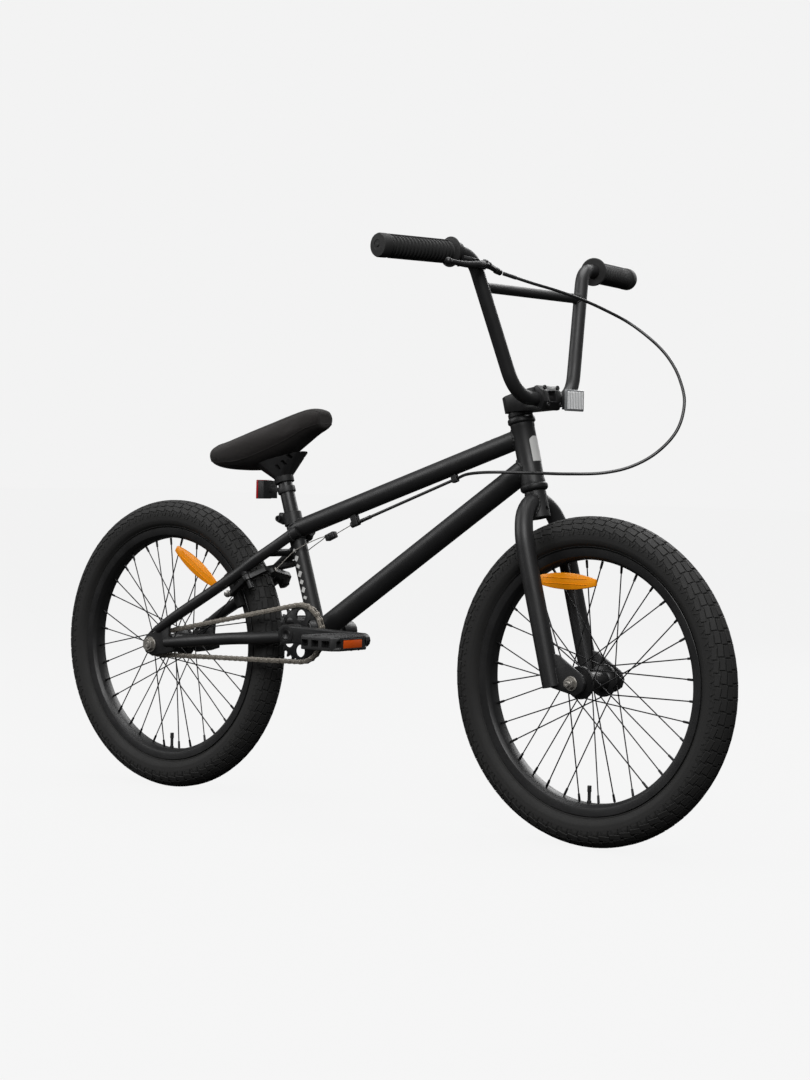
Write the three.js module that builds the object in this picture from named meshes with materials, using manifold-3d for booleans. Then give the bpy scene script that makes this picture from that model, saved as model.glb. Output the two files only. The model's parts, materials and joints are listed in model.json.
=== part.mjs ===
// Freestyle BMX bicycle with 20 inch wheels, as an assembly of separate parts.
// Millimetres. +X forward, +Y to the rider's left, +Z up.
// The origin is on the ground, midway between the two axles.

import * as THREE from 'three';
import { mergeVertices } from 'three/addons/utils/BufferGeometryUtils.js';
import { ConvexGeometry } from 'three/addons/geometries/ConvexGeometry.js';
import Module from 'manifold-3d';

const wasm = await Module();
wasm.setup();

// ---------------------------------------------------------------- driving dimensions

const GAP = 0.3; // clearance between pieces that touch

const WHEELBASE = 913;
const TYRE_RADIUS = 259;
const TYRE_SECTION = 28; // half the tyre's width
const TYRE_WALL = 3.2;
const RIM_RADIUS = 209; // top of the rim's flanges
const RIM_INNER_RADIUS = 190.5;
const RIM_HALF_WIDTH = 17.5;
const SPOKE_COUNT = 36;
const SPOKE_RADIUS = 1.15;
const SPOKE_OFFSET = 2.4; // crossing spokes leave opposite faces of the flange
const FLANGE_RADIUS = 26;
const WHEEL_FACETS = 30;

const HEAD_TILT = THREE.MathUtils.degToRad(14.8);
const FORK_OFFSET = 39;
const HEAD_TUBE_RADIUS = 19;
const STEERER_RADIUS = 14.3;
const LEG_RADIUS = 15;
const LEG_SPACING = 54; // fork leg centre to the bike's middle plane

const BB_X = -112;
const BB_Z = 300;
const BB_HALF_WIDTH = 36.5;
const SEAT_TUBE_TILT = Math.atan(0.333);
const SEAT_TUBE_RADIUS = 14.3;
const SEAT_TUBE_LENGTH = 214;
const POST_RADIUS = 12.7;
const TOP_TUBE_RADIUS = 15.9;
const DOWN_TUBE_RADIUS = 18.6;
const TUBE_WALL = 1.6;

const REAR_DROPOUT_INNER = 55; // half of the 110 mm hub width
const REAR_DROPOUT_OUTER = 61;

const CHAIN_PITCH = 12.7;
const SPROCKET_TEETH = 24;
const DRIVER_TEETH = 9;
const CHAIN_LINE = 45;
const CHAIN_HALF_WIDTH = 4.4;
const CHAIN_HALF_HEIGHT = 4.2;

const CRANK_LENGTH = 160;
const SPINDLE_RADIUS = 9.5;
const ARM_INNER = 54;
const ARM_OUTER = 84;
const PEDAL_INNER = 93;
const PEDAL_OUTER = 193;
const PEDAL_HALF_LENGTH = 41;
const PEDAL_HALF_HEIGHT = 11;

const BAR_RADIUS = 11.1;
const CABLE_RADIUS = 2.5;
const WIRE_RADIUS = 0.9;

// ---------------------------------------------------------------- places and directions

const vec = (x, y, z) => new THREE.Vector3(x, y, z);
const ACROSS = vec(0, 1, 0);
const FRONT_AXLE = vec(WHEELBASE / 2, 0, TYRE_RADIUS);
const REAR_AXLE = vec(-WHEELBASE / 2, 0, TYRE_RADIUS);
const BB = vec(BB_X, 0, BB_Z);

const HEAD_UP = vec(-Math.sin(HEAD_TILT), 0, Math.cos(HEAD_TILT));
const HEAD_FORWARD = vec(Math.cos(HEAD_TILT), 0, Math.sin(HEAD_TILT));
const SEAT_UP = vec(-Math.sin(SEAT_TUBE_TILT), 0, Math.cos(SEAT_TUBE_TILT));

/** Point beside the steering axis: height along it from the axle's level, then forward and left. */
const onHead = (up, forward = 0, left = 0) => FRONT_AXLE.clone()
  .addScaledVector(HEAD_UP, up)
  .addScaledVector(HEAD_FORWARD, forward - FORK_OFFSET)
  .addScaledVector(ACROSS, left);

/** Point on the seat tube's axis, at a distance from the bottom bracket. */
const onSeatTube = (up) => BB.clone().addScaledVector(SEAT_UP, up);

const along = (point, direction, distance) => point.clone().addScaledVector(direction, distance);
const mirrored = (point) => vec(point.x, -point.y, point.z);

// ---------------------------------------------------------------- shape helpers

/** Makes a solid from a closed geometry, with its faces turned outward. */
function toSolid(geometry) {
  const bare = geometry.clone();
  bare.deleteAttribute('normal');
  bare.deleteAttribute('uv');
  const merged = mergeVertices(bare, 1e-4);
  const corners = merged.index.array;
  const triangles = [];
  for (let i = 0; i < corners.length; i += 3) {
    const [a, b, c] = [corners[i], corners[i + 1], corners[i + 2]];
    if (a !== b && b !== c && c !== a) triangles.push([a, b, c]);
  }
  const build = (list) => new wasm.Manifold(new wasm.Mesh({
    numProp: 3,
    vertProperties: Float32Array.from(merged.attributes.position.array),
    triVerts: Uint32Array.from(list.flat()),
  }));
  const solid = build(triangles);
  return solid.volume() > 0 ? solid : build(triangles.map(([a, b, c]) => [a, c, b]));
}

/** Turns a solid back into a three.js geometry. */
function toGeometry(solid) {
  const { vertProperties, triVerts } = solid.getMesh();
  const geometry = new THREE.BufferGeometry();
  geometry.setAttribute('position', new THREE.Float32BufferAttribute(vertProperties, 3));
  geometry.setIndex(Array.from(triVerts));
  geometry.computeVertexNormals();
  return geometry;
}

const join = (...solids) => solids.reduce((whole, solid) => whole.add(solid));
const cut = (solid, ...tools) => tools.reduce((rest, tool) => rest.subtract(tool), solid);

/** Solid of revolution: profile of [radius, height] points about a direction from a base point. */
function turned(profile, base, direction, segments = 16) {
  const geometry = new THREE.LatheGeometry(profile.map(([r, h]) => new THREE.Vector2(r, h)), segments);
  geometry.applyQuaternion(new THREE.Quaternion().setFromUnitVectors(ACROSS, direction.clone().normalize()));
  geometry.translate(base.x, base.y, base.z);
  return toSolid(geometry);
}

/** Round bar between two points, which may taper. */
function rod(from, to, radius, segments = 16, endRadius = radius) {
  const length = from.distanceTo(to);
  const profile = [[0, 0], [radius, 0], [endRadius, length], [0, length]];
  return turned(profile, from, to.clone().sub(from), segments);
}

/** Ring or tube between two points along a line. */
function ring(base, direction, start, end, inner, outer, segments = 16) {
  const profile = [[inner, start], [outer, start], [outer, end], [inner, end], [inner, start]];
  return turned(profile, base, direction, segments);
}

/** Round tube of one radius with a ring of corners at each point of a path. */
function sweep(points, radius, sides) {
  const last = points.length - 1;
  const position = [];
  const index = [];
  let normal = vec(0.3, 0.5, 0.8);
  points.forEach((point, i) => {
    const heading = points[Math.min(i + 1, last)].clone().sub(points[Math.max(i - 1, 0)]).normalize();
    normal = along(normal, heading, -normal.dot(heading)).normalize();
    const side = heading.clone().cross(normal);
    for (let k = 0; k < sides; k += 1) {
      const angle = (k / sides) * Math.PI * 2;
      const corner = along(along(point, normal, radius * Math.cos(angle)), side, radius * Math.sin(angle));
      position.push(...corner.toArray());
      const [a, b] = [i * sides + k, i * sides + ((k + 1) % sides)];
      if (i < last) index.push(a, b, b + sides, a, b + sides, a + sides);
    }
  });
  for (let k = 1; k < sides - 1; k += 1) {
    index.push(0, k + 1, k, last * sides, last * sides + k, last * sides + k + 1);
  }
  const geometry = new THREE.BufferGeometry();
  geometry.setAttribute('position', new THREE.Float32BufferAttribute(position, 3));
  geometry.setIndex(index);
  return toSolid(geometry);
}

/** Evenly spaced points on a smooth curve through the given ones. */
const smooth = (points, steps) => (
  new THREE.CatmullRomCurve3(points, false, 'centripetal').getSpacedPoints(steps)
);

/** Straight runs between corners, each inner corner rounded off over a distance along both runs. */
function roundedPath(corners, bends) {
  const path = [corners[0]];
  bends.forEach((bend, i) => {
    const corner = corners[i + 1];
    const before = along(corner, corners[i].clone().sub(corner).normalize(), bend);
    const after = along(corner, corners[i + 2].clone().sub(corner).normalize(), bend);
    path.push(...new THREE.QuadraticBezierCurve3(before, corner, after).getPoints(6));
  });
  return [...path, corners[corners.length - 1]];
}

/** Flat plate: an outline of [x, z] points between two Y planes, with round holes [x, z, radius]. */
function plate(outline, low, high, holes = []) {
  const shape = new THREE.Shape(outline.map(([x, z]) => new THREE.Vector2(x, z)));
  for (const [x, z, radius] of holes) {
    shape.holes.push(new THREE.Path().absarc(x, z, radius, 0, Math.PI * 2, true));
  }
  const options = { depth: high - low, bevelEnabled: false, curveSegments: 6 };
  const geometry = new THREE.ExtrudeGeometry(shape, options);
  geometry.rotateX(Math.PI / 2);
  geometry.translate(0, high, 0);
  return toSolid(geometry);
}

/** Box given by its centre and size, turned about Y by an angle that lifts its front. */
function block(centre, size, lift = 0) {
  const geometry = new THREE.BoxGeometry(size.x, size.y, size.z);
  geometry.rotateY(-lift);
  geometry.translate(centre.x, centre.y, centre.z);
  return toSolid(geometry);
}

/** Convex shape round a set of points. */
const wrapped = (points) => toSolid(new ConvexGeometry(points));

/** Points on a circle about a direction. */
function circlePoints(centre, direction, radius, count = 16) {
  const turn = new THREE.Quaternion().setFromUnitVectors(ACROSS, direction.clone().normalize());
  return Array.from({ length: count }, (_, i) => {
    const angle = (i / count) * Math.PI * 2;
    return vec(radius * Math.cos(angle), 0, radius * Math.sin(angle)).applyQuaternion(turn).add(centre);
  });
}

// ---------------------------------------------------------------- finishes and assembly

const finish = (color, roughness, metalness) => new THREE.MeshStandardMaterial({ color, roughness, metalness });
const blackPaint = finish(0x1b1b1c, 0.6, 0.2);
const blackAlloy = finish(0x19191a, 0.45, 0.6);
const blackPlastic = finish(0x1a1a1b, 0.65, 0);
const rubber = finish(0x1c1c1c, 0.85, 0);
const darkSteel = finish(0x57544f, 0.4, 0.9);
const chainSteel = finish(0x5a4e45, 0.45, 0.85);
const seatCover = finish(0x201e1e, 0.8, 0);
const amber = finish(0xff8a14, 0.3, 0);
const redLens = finish(0xb01218, 0.25, 0);
const clearLens = finish(0xd8d8d6, 0.25, 0);

const bike = new THREE.Group();

function addPart(name, solid, material) {
  const mesh = new THREE.Mesh(toGeometry(solid), material);
  mesh.name = name;
  bike.add(mesh);
}

// ---------------------------------------------------------------- frame

const HEAD_TUBE_LOW = 327;
const HEAD_TUBE_HIGH = 426;
const TOP_TUBE_FRONT = vec(315, 0, 641);
const TOP_TUBE_REAR = vec(-168, 0, 474);
const DOWN_TUBE_FRONT = vec(329, 0, 595);
const DOWN_TUBE_REAR = vec(BB_X, 0, BB_Z - 2);
const CABLE_CLIP = vec(176, 0, 569);
const CABLE_STOP = vec(-36, 0, 489);
const CABLE_LINE = CABLE_CLIP.clone().sub(CABLE_STOP).normalize();

function frontTriangle() {
  const tubes = join(
    rod(onHead(HEAD_TUBE_LOW), onHead(HEAD_TUBE_HIGH), HEAD_TUBE_RADIUS, 20),
    rod(TOP_TUBE_REAR, TOP_TUBE_FRONT, TOP_TUBE_RADIUS),
    rod(DOWN_TUBE_REAR, DOWN_TUBE_FRONT, DOWN_TUBE_RADIUS),
    rod(BB, onSeatTube(SEAT_TUBE_LENGTH), SEAT_TUBE_RADIUS),
    rod(onSeatTube(SEAT_TUBE_LENGTH - 22), onSeatTube(SEAT_TUBE_LENGTH), SEAT_TUBE_RADIUS + 2.2),
    rod(vec(BB_X, -BB_HALF_WIDTH, BB_Z), vec(BB_X, BB_HALF_WIDTH, BB_Z), 22, 20),
    block(CABLE_STOP.clone().add(vec(0, 0, 9)), vec(13, 11, 26), 0.36),
    block(CABLE_CLIP.clone().add(vec(0, 0, 3)), vec(11, 9, 16), 0.36),
    block(along(onSeatTube(SEAT_TUBE_LENGTH - 11), vec(-1, 0, 0), 21), vec(16, 17, 18), -0.32),
  );
  return cut(
    tubes,
    rod(onHead(HEAD_TUBE_LOW - 5), onHead(HEAD_TUBE_HIGH + 5), HEAD_TUBE_RADIUS - 2, 20),
    rod(TOP_TUBE_REAR, TOP_TUBE_FRONT, TOP_TUBE_RADIUS - TUBE_WALL),
    rod(DOWN_TUBE_REAR, DOWN_TUBE_FRONT, DOWN_TUBE_RADIUS - TUBE_WALL),
    rod(BB, onSeatTube(SEAT_TUBE_LENGTH + 5), POST_RADIUS + GAP + 0.1),
    rod(vec(BB_X, -50, BB_Z), vec(BB_X, 50, BB_Z), 18.8, 20),
    rod(along(CABLE_STOP, CABLE_LINE, -30), along(CABLE_STOP, CABLE_LINE, 30), 4, 8),
    rod(along(CABLE_CLIP, CABLE_LINE, -20), along(CABLE_CLIP, CABLE_LINE, 20), 3.6, 8),
    rod(clampBoltAt(-20), clampBoltAt(20), 3.4, 8),
  );
}

/** Point on the seat clamp bolt's axis, behind the seat tube's top. */
function clampBoltAt(left) {
  return along(onSeatTube(SEAT_TUBE_LENGTH - 11), vec(-1, 0, 0), 24).setY(left);
}

const SEAT_STAY = [
  vec(-158, -20, 468), vec(-188, -31, 445.5), vec(-230, -41, 417), vec(-268, -46, 390.5),
  vec(-340, -54, 346.5), vec(-400, -59, 311), vec(-440, -59.5, 287),
];
const CHAIN_STAY = [
  vec(-122, -22, 296), vec(-165, -28, 290), vec(-215, -41, 285), vec(-270, -48, 281),
  vec(-350, -56, 272), vec(-420, -58, 264.5),
];
const SEAT_STAY_RADIUS = 9.5;
const CHAIN_STAY_RADIUS = 10.6;

const STUD_BASE = vec(-250, -43.5, 402);
const STAY_FORWARD = vec(0.833, 0, 0.553);
const STUD_OUT = vec(0.553, 0, -0.833);

/** Point in the brake's plane: along the seat stay, away from it, and across the bike. */
const onBrake = (forward, out, left) => vec(STUD_BASE.x, left, STUD_BASE.z)
  .addScaledVector(STAY_FORWARD, forward)
  .addScaledVector(STUD_OUT, out);

const REAR_PLATE = [
  [-18, -5], [-18, 6], [-11, 15], [8, 32], [26, 44], [46, 42], [44, 16],
  [56, 12], [56, -8], [36, -14], [2, -19], [-11, -15],
].map(([x, z]) => [REAR_AXLE.x + x, REAR_AXLE.z + z]);

function rearTriangle() {
  const { x, z } = REAR_AXLE;
  const holes = [[x, z, 7.6], [x + 6, z + 23, 3.2], [x + 22, z + 29, 3.2]];
  const sides = [1, -1].map((side) => {
    const flip = (points) => points.map((p) => (side > 0 ? p : mirrored(p)));
    const inner = side > 0 ? -REAR_DROPOUT_OUTER : REAR_DROPOUT_INNER;
    const shape = join(
      sweep(smooth(flip(SEAT_STAY), 8), SEAT_STAY_RADIUS, 10),
      sweep(smooth(flip(CHAIN_STAY), 7), CHAIN_STAY_RADIUS, 10),
      plate(REAR_PLATE, inner, inner + REAR_DROPOUT_OUTER - REAR_DROPOUT_INNER),
      rod(onBrake(0, 0, -43.5 * side), onBrake(0, 39, -43.5 * side), 5, 10),
    );
    const bores = holes.map(([hx, hz, radius]) => rod(vec(hx, -80, hz), vec(hx, 80, hz), radius, 12));
    return cut(shape, ...bores);
  });
  const bridges = join(
    rod(vec(-172, -29, 289), vec(-172, 29, 289), 6.5, 8),
    rod(vec(-204, -34, 433), vec(-204, 34, 433), 6.5, 8),
  );
  return cut(
    join(...sides, bridges),
    rod(vec(BB_X, -60, BB_Z), vec(BB_X, 60, BB_Z), 22 + GAP, 20),
    rod(BB, onSeatTube(SEAT_TUBE_LENGTH + 20), SEAT_TUBE_RADIUS + GAP),
    rod(TOP_TUBE_REAR, TOP_TUBE_FRONT, TOP_TUBE_RADIUS + GAP),
    rod(DOWN_TUBE_REAR, DOWN_TUBE_FRONT, DOWN_TUBE_RADIUS + GAP),
  );
}

function headsetCup(end, direction) {
  const profile = [
    [15.2, -12], [16.5, -12], [16.5, GAP], [19, GAP], [22.3, 2.5], [22.3, 8.5], [20, 11.3], [15.2, 11.3],
    [15.2, -12],
  ];
  return turned(profile, end, direction, 16);
}

function bottomBracketCup(side) {
  const face = vec(BB_X, side * BB_HALF_WIDTH, BB_Z);
  const direction = vec(0, side, 0);
  const profile = [[10.1, -10], [18.2, -10], [18.2, GAP], [21, GAP], [21, 4], [10.1, 4], [10.1, -10]];
  return turned(profile, face, direction, 16);
}

function clampBolt() {
  return join(
    rod(clampBoltAt(-14), clampBoltAt(12), 3, 12),
    rod(clampBoltAt(-14.5), clampBoltAt(-8.8), 5.5, 16),
    rod(clampBoltAt(8.8), clampBoltAt(13.5), 5.5, 6),
  );
}

addPart('frame_front_triangle', frontTriangle(), blackPaint);
addPart('frame_rear_triangle', rearTriangle(), blackPaint);
addPart('headset_lower_cup', headsetCup(onHead(HEAD_TUBE_LOW), HEAD_UP.clone().negate()), blackAlloy);
addPart('headset_upper_cup', headsetCup(onHead(HEAD_TUBE_HIGH), HEAD_UP), blackAlloy);
addPart('right_bearing_cup', bottomBracketCup(-1), blackAlloy);
addPart('left_bearing_cup', bottomBracketCup(1), blackAlloy);
addPart('seat_clamp_bolt', clampBolt(), blackAlloy);

// ---------------------------------------------------------------- fork and steering parts

const CROWN_BOTTOM = 271;
const CROWN_TOP = 314.8;
const STEERER_TOP = 470;

const FORK_PLATE = [
  [-46, -8], [8, -19], [20, -11], [24, 2], [17, 15], [-27, 42], [-38, 44],
].map(([x, z]) => [FRONT_AXLE.x + x, FRONT_AXLE.z + z]);

function fork() {
  const leg = [
    onHead(300, 0, 8), onHead(294, 0, 22), onHead(277, 0, 40), onHead(247, 0, 51),
    onHead(205, 0, LEG_SPACING), onHead(110, 0, LEG_SPACING), onHead(2, 0, LEG_SPACING),
  ];
  const legs = [leg, leg.map(mirrored)].map((points) => cut(
    sweep([...smooth(points.slice(0, 5), 7), points[6]], LEG_RADIUS, 12),
    rod(along(points[6], HEAD_UP, -2), points[4], LEG_RADIUS - 2.5, 12),
  ));
  const plates = [-LEG_SPACING - 3, LEG_SPACING - 3].map((low) => (
    plate(FORK_PLATE, low, low + 6, [[FRONT_AXLE.x, FRONT_AXLE.z, 5.6]])
  ));
  const steerer = join(
    rod(onHead(CROWN_BOTTOM), onHead(CROWN_TOP), 17.5),
    rod(onHead(300), onHead(STEERER_TOP), STEERER_RADIUS),
  );
  const bore = rod(onHead(CROWN_BOTTOM - 5), onHead(STEERER_TOP + 5), STEERER_RADIUS - 2.6);
  return cut(join(...legs, ...plates, steerer), bore);
}

const CLAMP_UP = 454;
const CLAMP_FORWARD = 51;
const HEADSET_COVER_RADIUS = 20;
const STEM_BOTTOM = 447.6;
const STEM_TOP = 473.5;
const STEM_HALF_WIDTH = 25;
const CLAMP_SPLIT = 3; // the faceplate starts this far ahead of the bar's centre

function stemBody() {
  const reach = CLAMP_FORWARD + CLAMP_SPLIT - 0.8;
  const corners = [];
  for (const side of [-1, 1]) {
    corners.push(onHead(STEM_BOTTOM, -20, side * 13), onHead(STEM_TOP, -20, side * 13));
    corners.push(onHead(STEM_BOTTOM, -8, side * 22), onHead(STEM_TOP, -8, side * 22));
    corners.push(onHead(CLAMP_UP - 18, reach, side * STEM_HALF_WIDTH));
    corners.push(onHead(CLAMP_UP + 19, reach, side * STEM_HALF_WIDTH));
    corners.push(onHead(STEM_BOTTOM, 22, side * STEM_HALF_WIDTH));
    corners.push(onHead(STEM_TOP + 1, 22, side * STEM_HALF_WIDTH));
  }
  const clamp = onHead(CLAMP_UP, CLAMP_FORWARD);
  return cut(
    wrapped(corners),
    rod(onHead(STEM_BOTTOM - 20), onHead(STEM_TOP + 5), STEERER_RADIUS + GAP + 0.2),
    rod(onHead(STEM_BOTTOM - 20), onHead(STEM_BOTTOM), HEADSET_COVER_RADIUS + 1.5, 20),
    rod(clamp.clone().setY(-40), clamp.clone().setY(40), BAR_RADIUS + GAP + 0.1),
    block(onHead(CLAMP_UP + 2, 27), vec(11, 22, 60), -HEAD_TILT),
  );
}

function stemFaceplate() {
  const start = CLAMP_FORWARD + CLAMP_SPLIT;
  const corners = [];
  for (const side of [-1, 1]) {
    const left = side * STEM_HALF_WIDTH;
    corners.push(onHead(CLAMP_UP - 19, start, left), onHead(CLAMP_UP + 20, start, left));
    corners.push(onHead(CLAMP_UP - 19, start + 5, left), onHead(CLAMP_UP + 20, start + 5, left));
    corners.push(onHead(CLAMP_UP - 8, start + 14, left), onHead(CLAMP_UP + 9, start + 14, left));
  }
  const clamp = onHead(CLAMP_UP, CLAMP_FORWARD);
  return cut(
    wrapped(corners),
    rod(clamp.clone().setY(-40), clamp.clone().setY(40), BAR_RADIUS + GAP + 0.1),
    block(onHead(CLAMP_UP, start + 14), vec(14, 20, 16), -HEAD_TILT),
  );
}

const BAR_CLAMP = onHead(CLAMP_UP, CLAMP_FORWARD);
const BAR_LOWER_CORNER = vec(BAR_CLAMP.x, -76, BAR_CLAMP.z);
const BAR_UPPER_CORNER = vec(316, -152, 921);
const BAR_END = vec(281.6, -337, 920);
const GRIP_LINE = BAR_END.clone().sub(BAR_UPPER_CORNER).normalize();
const CROSSBAR_END = vec(324, -134, 870.5);
const CROSSBAR_RADIUS = 8;
const BAR_BENDS = [22, 44, 44, 22]; // how far each bend runs back from its corner

function handlebar() {
  const corners = [
    BAR_END, BAR_UPPER_CORNER, BAR_LOWER_CORNER,
    mirrored(BAR_LOWER_CORNER), mirrored(BAR_UPPER_CORNER), mirrored(BAR_END),
  ];
  const path = roundedPath(corners, BAR_BENDS);
  const inner = roundedPath([
    along(BAR_END, GRIP_LINE, 3), ...corners.slice(1, 5), along(mirrored(BAR_END), mirrored(GRIP_LINE), 3),
  ], BAR_BENDS);
  const tube = join(
    sweep(path, BAR_RADIUS, 12),
    rod(CROSSBAR_END, mirrored(CROSSBAR_END), CROSSBAR_RADIUS, 12),
  );
  return cut(tube, sweep(inner, BAR_RADIUS - 2.4, 6));
}

const GRIP_START = along(BAR_END, GRIP_LINE, -146);

function grip(start, direction) {
  const profile = [
    [11.8, 0], [22, 0], [22, 4], [16, 8], [15.6, 128], [18.4, 132], [18.4, 148], [0, 150.5], [0, 147],
    [11.8, 147], [11.8, 0],
  ];
  return turned(profile, start, direction, 14);
}

const LEVER_CLAMP = along(BAR_END, GRIP_LINE, -154);
const LEVER_PIVOT = vec(340, -150, 904);
const LEVER_TIP = vec(339, -240, 902);
const LEVER_AXIS = vec(-0.447, 0, -0.894);
const BARREL_END = vec(343, -113, 894);
const SLOT_END = vec(339, -174, 903); // the blade swings in a slot that runs this far

function leverBracket() {
  const body = wrapped([
    ...circlePoints(along(LEVER_CLAMP, vec(1, 0, -0.7).normalize(), 16), ACROSS, 5, 8),
    ...circlePoints(LEVER_PIVOT.clone().add(vec(0, 12, -1)), vec(0.2, 1, -0.2), 6, 8),
  ]);
  const barrel = rod(LEVER_PIVOT.clone().add(vec(0, 10, -1)), BARREL_END, 5.2, 8, 4.2);
  const strap = ring(LEVER_CLAMP, GRIP_LINE, -6, 6, BAR_RADIUS + 0.5, BAR_RADIUS + 5);
  const bore = rod(along(LEVER_CLAMP, GRIP_LINE, -20), along(LEVER_CLAMP, GRIP_LINE, 9), BAR_RADIUS + 0.5);
  const slot = wrapped([-5, 5].flatMap((height) => [
    ...circlePoints(along(LEVER_PIVOT, LEVER_AXIS, height), LEVER_AXIS, 9.5, 12),
    ...circlePoints(along(SLOT_END, LEVER_AXIS, height), LEVER_AXIS, 9, 12),
  ]));
  return cut(join(body, barrel, strap), bore, slot);
}

function leverBlade() {
  const path = smooth([LEVER_PIVOT, vec(344, -170, 902), vec(342, -200, 900), LEVER_TIP], 7);
  return join(
    sweep(path, 4.2, 8),
    rod(along(LEVER_PIVOT, LEVER_AXIS, -4), along(LEVER_PIVOT, LEVER_AXIS, 4), 7.5, 12),
    toSolid(new THREE.SphereGeometry(5.5, 8, 5).translate(LEVER_TIP.x, LEVER_TIP.y, LEVER_TIP.z)),
  );
}

const REFLECTOR_Y = 34;

function reflectorBracket() {
  const collar = ring(BAR_CLAMP, ACROSS, 25.6, 31.6, BAR_RADIUS + 0.5, BAR_RADIUS + 3.6, 14);
  const arm = block(vec(BAR_CLAMP.x + 21, 28.6, BAR_CLAMP.z), vec(14, 5.8, 12));
  const back = block(vec(BAR_CLAMP.x + 29.5, REFLECTOR_Y, BAR_CLAMP.z - 1), vec(5, 46, 30));
  return join(collar, arm, back);
}

addPart('fork', fork(), blackPaint);
addPart('headset_cover', ring(
  onHead(HEAD_TUBE_HIGH), HEAD_UP, 11.7, 21.2, STEERER_RADIUS + 0.6, HEADSET_COVER_RADIUS, 20,
), blackAlloy);
addPart('stem_body', stemBody(), blackAlloy);
addPart('stem_faceplate', stemFaceplate(), blackAlloy);
addPart('handlebar', handlebar(), blackPaint);
addPart('right_grip', grip(GRIP_START, GRIP_LINE), rubber);
addPart('left_grip', grip(mirrored(GRIP_START), mirrored(GRIP_LINE)), rubber);
addPart('brake_lever_bracket', leverBracket(), blackAlloy);
addPart('brake_lever_blade', leverBlade(), blackAlloy);
addPart('front_reflector_bracket', reflectorBracket(), blackPlastic);
addPart('front_reflector_lens', block(
  vec(BAR_CLAMP.x + 34.6, REFLECTOR_Y, BAR_CLAMP.z - 1),
  vec(4.4, 50, 34),
), clearLens);

// ---------------------------------------------------------------- wheels

function tyreProfile() {
  const centre = TYRE_RADIUS - TYRE_SECTION;
  const arc = (radius, from, to, count) => Array.from({ length: count + 1 }, (_, i) => {
    const angle = from + ((to - from) * i) / count;
    return [centre + radius * Math.sin(angle), radius * Math.cos(angle)];
  });
  const foot = 13.3;
  const low = -0.83;
  return [
    [203.5, 10], [203.5, foot], [209.6, foot + 0.6],
    ...arc(TYRE_SECTION, low, Math.PI - low, 8),
    [209.6, -foot - 0.6], [203.5, -foot], [203.5, -10],
    ...arc(TYRE_SECTION - TYRE_WALL, Math.PI - low - 0.12, low + 0.12, 3),
    [203.5, 10],
  ];
}

function rimProfile() {
  const half = [
    [RIM_INNER_RADIUS, 8], [196, 16.5], [RIM_RADIUS, RIM_HALF_WIDTH], [RIM_RADIUS, 15], [201.5, 13.7],
  ];
  const other = half.map(([r, y]) => [r, -y]).reverse();
  return [...half, ...other, half[0]];
}

/** All of a wheel's spokes, held together by the band of nipple seats inside the rim. */
function spokeSet(hub, flange, valveHole) {
  const bandOuter = RIM_INNER_RADIUS - GAP;
  const start = FLANGE_RADIUS + 0.8;
  const spokes = [ring(hub, ACROSS, -6, 6, bandOuter - 2, bandOuter, WHEEL_FACETS)];
  for (let i = 0; i < SPOKE_COUNT; i += 1) {
    const side = i % 2 === 0 ? -1 : 1;
    const lead = i % 4 < 2 ? 1 : -1;
    const atRim = ((i + 0.5) / SPOKE_COUNT) * Math.PI * 2;
    const atHub = atRim + lead * 1.12;
    const left = side * flange + lead * SPOKE_OFFSET;
    const inner = vec(start * Math.cos(atHub), left, start * Math.sin(atHub)).add(hub);
    const reach = bandOuter - 1.8;
    const outer = vec(reach * Math.cos(atRim), side * 2, reach * Math.sin(atRim)).add(hub);
    spokes.push(rod(inner, outer, SPOKE_RADIUS, 3));
  }
  return cut(join(...spokes), valveHole);
}

function hubShell(axle, bore, end, flange, barrel) {
  const profile = [
    [bore, -end], [12.5, -end], [16, -flange - 3], [FLANGE_RADIUS, -flange - 2],
    [FLANGE_RADIUS, -flange + 2], [barrel, -flange + 5], [barrel, flange - 5], [FLANGE_RADIUS, flange - 2],
    [FLANGE_RADIUS, flange + 2], [16, flange + 3], [12.5, end], [bore, end], [bore, -end],
  ];
  return turned(profile, axle, ACROSS, 16);
}

const VALVE_TIP = 163;

function valve(axle, radius, reach) {
  const base = along(axle, vec(0, 0, -1), VALVE_TIP);
  const down = vec(0, 0, -1);
  const profile = [[0, 0], [2.6, 0], [3, 9], [radius, 10], [radius, reach], [0, reach]];
  return turned(profile, base, down, 8);
}

/** Long spoke reflector, clipped outside the right-hand spokes. */
function wheelReflector(axle, centre, slope) {
  const outline = [
    [-59, -4], [-52, 11], [-30, 14], [30, 14], [52, 11], [59, -4], [50, -13], [20, -11], [-20, -11], [-50, -13],
  ].map(([x, z]) => [
    axle.x + centre[0] + x * Math.cos(slope) - z * Math.sin(slope),
    axle.z + centre[1] + x * Math.sin(slope) + z * Math.cos(slope),
  ]);
  return plate(outline, -19, -13.5);
}

function nut(axle, side, face, thickness, bore, radius) {
  const start = vec(axle.x, side * face, axle.z);
  const direction = vec(0, side, 0);
  return join(
    ring(start, direction, GAP, 2.2, bore, radius + 2.5, 12),
    ring(start, direction, 2, thickness, bore + 1, radius, 6),
  );
}

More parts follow.
